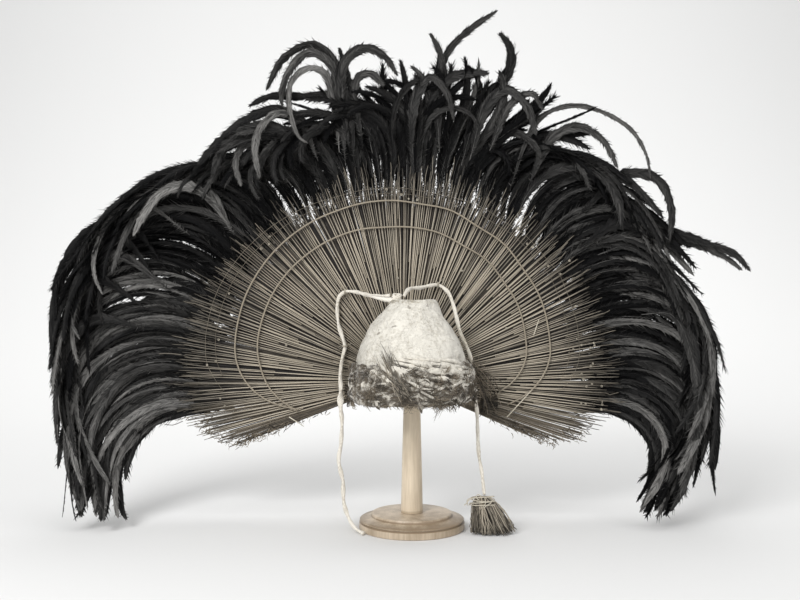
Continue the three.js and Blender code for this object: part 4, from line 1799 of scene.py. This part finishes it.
@dataclass
class Plumage:
    """All the feathers."""

    fan_x: float = -14
    fan_z: float = 228
    root_radius: float = 310
    root_y: float = 84.8
    straight: float = 48
    root_feathers: int = 16
    main_feathers: int = 32
    high_feathers: int = 7
    crest_feathers: tuple[int, int, int] = (6, 10, 6)
    crest_gaps: range = range(5, 12)
    comb_gaps: range = range(2, 15)
    dark_gaps: range = range(5, 14)
    low: float = 40
    lowest: float = 9
    wide: float = 545
    edge: float = 50

    def headings(self, rows: np.ndarray, share: np.ndarray) -> np.ndarray:
        """Which way streamlines head.

        Args:
            rows: Rows of at, length, root, tip and lean.
            share: Shares of each one's length, (rows, any).

        Returns:
            The headings, in radians.
        """
        eased = np.clip(1.15 * share, 0, 1)
        eased = eased * eased * (3 - 2 * eased)
        root, tip = rows[:, 2:3], rows[:, 3:4]
        return np.radians(root + (tip - root) * eased)

    def start_points(self, rows: np.ndarray, reach: np.ndarray) -> np.ndarray:
        """Where feathers that start partly along streamlines are rooted.

        Args:
            rows: Rows of at, length, root, tip and lean.
            reach: How far along each the feather starts, in millimetres.

        Returns:
            The places as x and z.
        """
        steps = 48
        at, length = np.radians(rows[:, 0]), rows[:, 1]
        share = (np.arange(steps) + 0.5) / steps * (reach / length)[:, None]
        heading = self.headings(rows, share)
        step = reach / steps
        x = self.fan_x + self.root_radius * np.cos(at) + step * np.cos(heading).sum(1)
        z = self.fan_z + self.root_radius * np.sin(at) + step * np.sin(heading).sum(1)
        return np.stack([x, z], 1)

    def bend_paths(
        self, rows: np.ndarray, start: np.ndarray, own: np.ndarray, curl: np.ndarray, depth: np.ndarray,
        shares: np.ndarray,
    ) -> np.ndarray:
        """Bends quills along the streamlines, with a curl of their own towards the tip.

        Args:
            rows: Rows of at, length, root, tip and lean.
            start: How far along its streamline each feather starts.
            own: Each feather's length.
            curl: How far its tip turns away from the streamline, in degrees.
            depth: How far in front of the streamline it ends.
            shares: Where its rings lie.

        Returns:
            The quills' lines, (feathers, rings, 3), in millimetres.
        """
        fine = 64
        share = (np.arange(fine) + 0.5) / fine
        along = start[:, None] + own[:, None] * share
        heading = self.headings(rows, along / rows[:, 1:2])
        late = np.clip((share - 0.38) / 0.62, 0, 1) ** 1.4
        heading = heading + np.radians(curl)[:, None] * late
        step = (own / fine)[:, None]
        first = self.start_points(rows, start)
        x = np.concatenate([first[:, :1], first[:, :1] + np.cumsum(step * np.cos(heading), 1)], 1)
        z = np.concatenate([first[:, 1:], first[:, 1:] + np.cumsum(step * np.sin(heading), 1)], 1)
        at = np.linspace(0, 1, fine + 1)
        reach = start[:, None] + own[:, None] * at
        free = np.maximum(0, reach - self.straight) / (rows[:, 1:2] - self.straight)
        loose = np.clip((reach - 30) / 120, 0, 1)
        clear = np.clip(own[:, None] * at / 90, 0, 1)
        y = self.root_y + 2 - rows[:, 4:5] * np.minimum(free, 1.15) ** 1.5
        y = y - (depth[:, None] * clear - 7 * (1 - clear)) * loose
        room = self.low - self.lowest
        under = np.exp((np.minimum(z, self.low) - self.low) / room)
        z = np.where(z < self.low, self.lowest + room * under, z)
        past = np.maximum(np.abs(x - self.fan_x) - self.wide, 0)
        bound = self.wide + self.edge * (1 - np.exp(-past / self.edge))
        x = np.where(past > 0, self.fan_x + np.sign(x) * bound, x)
        place = shares * fine
        index = np.minimum(place.astype(int), fine - 1)
        part = place - index
        return np.stack([c[:, index] * (1 - part) + c[:, index + 1] * part for c in (x, y, z)], -1)

    def fill_gap(self, bed: FeatherBed, gap: int) -> None:
        """Fills the space between two streamlines with feathers.

        Args:
            bed: Where they go.
            gap: Which two streamlines, counted from the lower right.
        """
        rng = bed.rng
        table = np.array([[s.at, s.length, s.root, s.tip, s.lean] for s in STREAMLINES], float)
        droop = -1.0 if gap < 7 else 1.0
        crest = gap in self.crest_gaps
        counts = (self.root_feathers, self.main_feathers, self.high_feathers)
        for kind, count in enumerate(self.crest_feathers if crest else counts):
            mixed = gap + (np.arange(count) + rng.uniform(0, 1, count)) / count
            mixed = mixed if gap != 3 else gap + (mixed - gap) ** 2
            rows = np.stack([np.interp(mixed, np.arange(len(table)), c) for c in table.T], 1)
            rows[:, 0] += rng.normal(0, 0.7, count)
            rows[:, 2:4] += np.clip(rng.normal(0, (5, 8), (count, 2)), -10, 10)
            rows[:, 4] *= rng.uniform(0.75, 1.08, count)
            length = rows[:, 1]
            if kind == 0:
                own = rng.uniform(120, 210, count)
                start = rng.uniform(-32, 20, count)
                half, tint = rng.uniform(7, 12, count), rng.uniform(0.0, 0.08, count)
                half *= 0.75 if crest else 1.0
                curl, depth = droop * rng.uniform(0, 25, count), rng.uniform(-7, -2, count)
            else:
                own = np.minimum(rng.uniform(170, 310, count), length * 0.98)
                later = rng.permutation(count) / (count - 1)
                start = (length - own) * later - 20 * (later < 0.2)
                half = rng.uniform(4.5, 9.5, count)
                tint = np.clip(rng.gamma(0.9, 0.10, count), 0.0, 0.6)
                curl = droop * rng.normal(4, 9, count)
                depth = rng.uniform(-6, 8, count)
            if kind == 2:
                tint = rng.uniform(0.05, 0.5, count)
                curl = droop * rng.uniform(0, 28, count)
                depth = rng.uniform(4, 16, count)
            if crest and kind:
                side = np.where(rng.random(count) < (0.7 if 6 <= gap <= 9 else 1.0), droop, -droop)
                curl = side * rng.uniform(20, 150 if gap > 6 else 55, count)
                start *= 0.5
                half *= 1.25
            if gap >= 11:
                curl = np.clip(curl, -3, 40)
            tint += 0.09 if gap > 14 else 0.0
            tint *= 0.45 if gap in self.dark_gaps else 1.0
            paths = self.bend_paths(rows, start, own, curl, depth, bed.shape.shares)
            bed.lay(paths, half, rng.normal(0, 0.45, count), tint)

    def build(self) -> None:
        """Models and dresses the feathers, one piece for each gap and one for the lone ones."""
        wing = FeatherShape.with_rings(15, 72, 0.16, (2.0, 4.0, 8.0))
        crest = FeatherShape.with_rings(17, 150, 0.36, (2.5, 5.0, 9.0))
        comb = FeatherShape.with_rings(15, 96, 0.16, (4.0, 8.0, 12.0))
        material = FEATHER.material()
        rng = np.random.default_rng(211)
        for gap in range(len(STREAMLINES) - 1):
            side = comb if gap in self.comb_gaps else wing
            bed = FeatherBed(Bundle(), rng, crest if gap in self.crest_gaps else side)
            self.fill_gap(bed, gap)
            piece = bed.bundle.build(f"feathers_{gap + 1:02d}", material, "feather")
            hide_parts(f"plume_{gap + 1:02d}")
        bed = FeatherBed(Bundle(), rng, FeatherShape.with_rings(37, 170, 0.25, (2.0, 3.0)))
        fine = 200
        for lone in LONE_FEATHERS:
            depth = np.linspace(lone.start_y, lone.end_y, len(lone.route))
            line = smooth_route([(x, y, z) for (x, z), y in zip(lone.route, depth)], fine)
            place = bed.shape.shares * (fine - 1)
            path = np.stack([np.interp(place, np.arange(fine), line[:, k]) for k in range(3)], 1)
            looks = (np.array([value]) for value in (lone.half_width, lone.turn, lone.tint))
            bed.lay(path[None], *looks)
        bed.bundle.build("lone_feathers", material, "feather")
        LOG.info("feathers: %d gaps and %d lone feathers", len(STREAMLINES) - 1, len(LONE_FEATHERS))


# ---- cords


@dataclass
class Cords:
    """The tie cord's two ends, its knot and ties, and the tassel."""

    finish: bpy.types.Material = field(init=False)
    radius: float = 3.3
    tied_y: float = 68.6
    rings: int = 320
    lay_length: float = 0.030
    tie_radius: float = 4.7
    tie_ends: int = 11
    tassel_stalks: int = 420
    tassel_top: float = 60
    tassel_x: float = 108.5
    tassel_y: float = -42
    knot_centre: Point = (-24, -12, 369.8)
    left: Sequence[Point] = (
        (-35, -10, 371), (-47, -2, 370), (-59, 9, 370), (-71, 22, 372), (-83, 40, 375), (-96, 58, 378),
        (-111, 68.6, 377.5), (-121, 68.6, 369), (-124, 68.6, 347), (-121.5, 68.6, 322),
        (-116, 68.6, 304), (-111, 68.6, 287), (-114, 67, 272), (-118, 61, 247), (-117, 52, 215),
        (-117, 44, 191), (-114, 35, 167), (-114, 28, 148), (-115, 20, 128), (-118, 12, 106),
        (-114, 5, 88), (-110, 0, 73), (-109.5, -6, 57), (-108, -13, 43), (-103, -22, 28),
        (-96, -31, 16), (-88, -41, 8), (-75, -52, 3.6),
    )
    right: Sequence[Point] = (
        (-12.5, -9, 370.5), (-8, 9, 378), (-1, 27, 383), (14, 44, 384), (31, 61, 388),
        (44.5, 68.6, 389), (54, 65, 384), (62.5, 56, 374), (68.5, 46, 357), (73, 37, 338),
        (76, 31, 323), (80.5, 25, 307), (86.5, 20, 294), (92, 15, 281), (95, 12, 270), (98, 8, 256),
        (100, 6, 239), (101, 0, 212), (103.5, -6, 188), (104, -14, 158), (105, -26, 120),
        (108, -32, 101), (110.5, -38, 80), (111.5, -41, 66), (112, -42, 61),
    )
    left_girth: Sequence[float] = (
        1, 1, 1.05, 1, 1, 1, 1.02, 0.95, 1, 1.05, 1.0, 1, 0.95, 1.25, 1.55, 1.1, 0.9, 1, 1.05, 1, 0.95,
        1, 0.95, 0.9, 0.85, 1.1,
    )
    right_girth: Sequence[float] = (1.05, 1, 1, 1.05, 1, 1, 0.98, 0.95, 0.9, 0.85, 0.9, 0.85, 0.9)

    def twist(
        self, route: Sequence[Point], name: str, girth: Sequence[float]
    ) -> tuple[bpy.types.Object, np.ndarray]:
        """Twists a cord along its route.

        Args:
            route: The points that it passes through.
            name: The piece's name.
            girth: How thick it is along its length, over its radius.

        Returns:
            The piece and its centreline in metres.
        """
        line = smooth_route(route, self.rings) * MM
        share = np.linspace(0, 1, self.rings)
        girth = np.interp(share, np.linspace(0, 1, len(girth)), girth)
        uneven = 1 + 0.10 * lumps(line, 0.012, 81)
        width = self.radius * girth * uneven * 1.06
        height = self.radius * np.minimum(girth, 1.05) * uneven * 0.80
        spin = share * line_length(line) / self.lay_length * math.pi
        bundle = Bundle()
        cord = Strand.model(Section.CORD, self.rings)
        tint = 0.25 + 0.2 * lumps(line, 0.04, 83)
        bundle.lay(cord, line[None], width * MM, height * MM, (0.3, -1, 0.2), spin[None], tint[None])
        return bundle.build(name, self.finish, "cord"), line

    def make_cords(
        self, tassel: bpy.types.Object, knot: bpy.types.Object, ties: Sequence[bpy.types.Object]
    ) -> None:
        """Twists both cords.

        Args:
            tassel: The tassel on the right cord's end.
            knot: The knot on the crown that the left cord leaves.
            ties: The three thread ties, left upper, left lower and right.
        """
        for side, route, girth, far_end, on_it in (
            ("left", self.left, self.left_girth, "bare", [knot, *ties[:2]]),
            ("right", self.right, self.right_girth, "fitting", [tassel, ties[2]]),
        ):
            piece, line = self.twist(route, f"{side}_tie_cord", girth)
            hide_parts(f"{side}_cord")
            2 * self.radius * MM

    def make_knot(self) -> bpy.types.Object:
        """Ties the cord at the crown's corner and draws up a flap of cloth.

        Returns:
            The piece.
        """
        bundle = Bundle()
        rings = 40
        cord = Strand.model(Section.CORD, rings)
        turn = np.linspace(0, 2 * math.pi, rings)
        for tilt, wide, high in ((0.5, 6.0, 3.0), (-0.6, 5.2, 3.2), (1.4, 4.6, 2.6)):
            parts = [wide * np.cos(turn), 4.2 * np.sin(turn), high * np.sin(turn + tilt)]
            ring = np.stack(parts, 1) + np.array(self.knot_centre)
            bundle.lay(cord, ring[None] * MM, np.full(rings, 2.1) * MM, tint=0.3)
        rings = 14
        blade = Strand.model(Section.BLADE, rings)
        route = ((-22, -19, 363), (-38, -16, 364.5), (-54, -8, 367.5), (-72, 10, 371.5))
        flap = smooth_route(route, rings)[None]
        width = np.linspace(6.5, 1.5, rings)
        thick = np.full(rings, 1.1)
        bundle.lay(blade, flap * MM, width * MM, thick * MM, (0, -1, 0.3), 0.2, 0.1)
        piece = bundle.build("crown_knot", self.finish, "cord")
        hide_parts("cord_knot")
        return piece

    def make_tie(self, node: str, x: float, z: float, level: bool, seed: int) -> bpy.types.Object:
        """Loops thread round a cord and tangles its ends among the sticks.

        Args:
            node: The frame's node for it.
            x: The cord's place across.
            z: Its height.
            level: Whether the cord runs level there.
            seed: The seed.

        Returns:
            The piece.
        """
        rng = np.random.default_rng(seed)
        bundle = Bundle()
        rings = 24
        hair = Strand.model(Section.HAIR, rings)
        turn = np.linspace(0, 2 * math.pi, rings)
        centre = np.array([x, self.tied_y, z])
        a, b = self.tie_radius * np.cos(turn), self.tie_radius * np.sin(turn)
        slanting = (1, 0.3, 1)
        for k in range(3):
            shift = np.full(rings, (k - 1) * 0.8)
            ring = np.stack([shift, a, b] if level else [a, b, shift], 1) + centre
            bundle.lay(hair, ring[None] * MM, np.full(rings, 0.5) * MM, None, slanting, tint=0.6)
        steps = np.linspace(0, 1, rings)[:, None]
        for _ in range(self.tie_ends):
            way = rng.normal(0, 1, 3) * np.array([1, 0.05, 1])
            bend = rng.normal(0, 6, 3) * np.array([1, 0.05, 1])
            start = centre + np.array([0, 3.2, 0])
            away = start + way * 8 * steps + bend * steps * (1 - steps) * 2.5
            away[:, 1] = np.clip(away[:, 1], 70, 73.6)
            width = np.full(rings, 0.28)
            bundle.lay(hair, away[None] * MM, width * MM, None, slanting, tint=rng.random())
        piece = bundle.build(f"{node}_thread", THREAD.material(), "cord")
        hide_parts(node)
        return piece

    def make_tassel(self) -> bpy.types.Object:
        """Binds stiff fibres into a tassel that stands on the ground.

        Returns:
            The piece.
        """
        rng = np.random.default_rng(97)
        bundle = Bundle()
        stalk = Strand.model(Section.STICK, 6)
        count = self.tassel_stalks
        steps = np.linspace(0, 1, 6)
        turn = rng.uniform(0, 2 * math.pi, count)
        girth = np.sqrt(rng.uniform(0.02, 1, count))
        cross = girth * np.cos(turn)
        away = girth * np.sin(turn)
        spread = steps**0.9
        top = self.tassel_top - 1.5 * girth - np.abs(rng.normal(0, 3.0, count))
        foot = 1.4 + np.abs(rng.normal(0, 4.2, count)) + 6 * np.clip(cross - 0.5, 0, 1)
        neck = 1 - 0.35 * np.exp(-((steps / 0.08) ** 2))
        half_width = (15 + (34.5 - 15) * spread) * neck
        half_depth = (9.5 + (16.8 - 9.5) * spread) * neck
        x = self.tassel_x + 17 * spread + cross[:, None] * half_width
        y = self.tassel_y + away[:, None] * half_depth
        z = top[:, None] + (foot - top)[:, None] * steps
        bow = np.sin(math.pi * steps) * rng.normal(0, 1.9, (2, count, 1))
        bow = bow + steps**3 * rng.normal(0, 2.4, (2, count, 1))
        bow = bow + rng.normal(0, 0.7, bow.shape) * (steps > 0.1)
        path = np.stack([x + bow[0], np.clip(y + bow[1], -60, -24), z], -1)
        width = rng.uniform(0.4, 0.85, (count, 1))
        tint = np.clip(rng.normal(0.62, 0.38, (count, 1)), 0, 1) * (1 - 0.35 * steps**2)
        bundle.lay(stalk, path * MM, width * MM, tint=tint)
        piece = bundle.build("fibre_tassel", STICK.material(), "fibre")
        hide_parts("tassel")
        self.make_binding(rng)
        return piece

    def make_binding(self, rng: np.random.Generator) -> None:
        """Winds a thin pale cord round the tassel's head.

        Args:
            rng: The source of chance.
        """
        bundle = Bundle()
        rings = 60
        hair = Strand.model(Section.STICK, rings)
        turn = np.linspace(0, 2 * math.pi, rings)
        for height, tilt in ((57.5, 2.4), (54.5, -2.0), (49.5, 2.8), (46.5, 0.5)):
            swell = (self.tassel_top - height) / 59 * 18
            x = self.tassel_x + 1 + (17 + swell * 0.9) * np.cos(turn)
            y = self.tassel_y + (11.2 + swell * 0.4) * np.sin(turn)
            z = height + tilt * np.cos(turn + 1) + rng.normal(0, 0.15, rings)
            ring = np.stack([x, y, z], 1)[None] * MM
            bundle.lay(hair, ring, np.full(rings, 0.7) * MM, facing=(0, 0, 1), tint=0.75)
        for route in (
            ((107, -52, 58), (104, -53, 63), (101, -52, 63.5), (99, -52, 59), (103, -53, 55)),
            ((93, -50, 57), (88, -51, 55), (83, -50, 49), (80, -49, 46)),
            ((94, -50, 56), (90, -51, 58), (85, -50, 54), (86, -50, 46)),
            ((112, -53, 58), (113, -54, 51), (110, -54, 45), (112, -54, 41)),
            ((124, -52, 55), (120, -54, 50), (114, -55, 47), (111, -54, 43)),
        ):
            line = smooth_route(route, rings)
            bundle.lay(hair, line[None] * MM, np.full(rings, 0.75) * MM, tint=0.7)
        bundle.build("tassel_binding", THREAD.material(), "cord")

    def build(self) -> None:
        """Models and dresses the cords and what is on them."""
        self.finish = CORD.material()
        ties = [
            self.make_tie("left_tie_upper", -111, 377.5, True, 91),
            self.make_tie("left_tie_lower", -111.5, 287, False, 92),
            self.make_tie("right_tie", 44.5, 389, True, 93),
        ]
        self.make_cords(self.make_tassel(), self.make_knot(), ties)
        LOG.info("cords: two ends, knot, ties and tassel")


# ---- all of it


def main() -> None:
    """Builds the scene piece by piece."""
    logging.basicConfig(level=logging.INFO, format="%(name)s: %(message)s")
    Studio().build()
    Cords().build()
    Stand().build()
    Cap().build()
    Fan().build()
    Plumage().build()


if __name__ == "__main__":
    main()
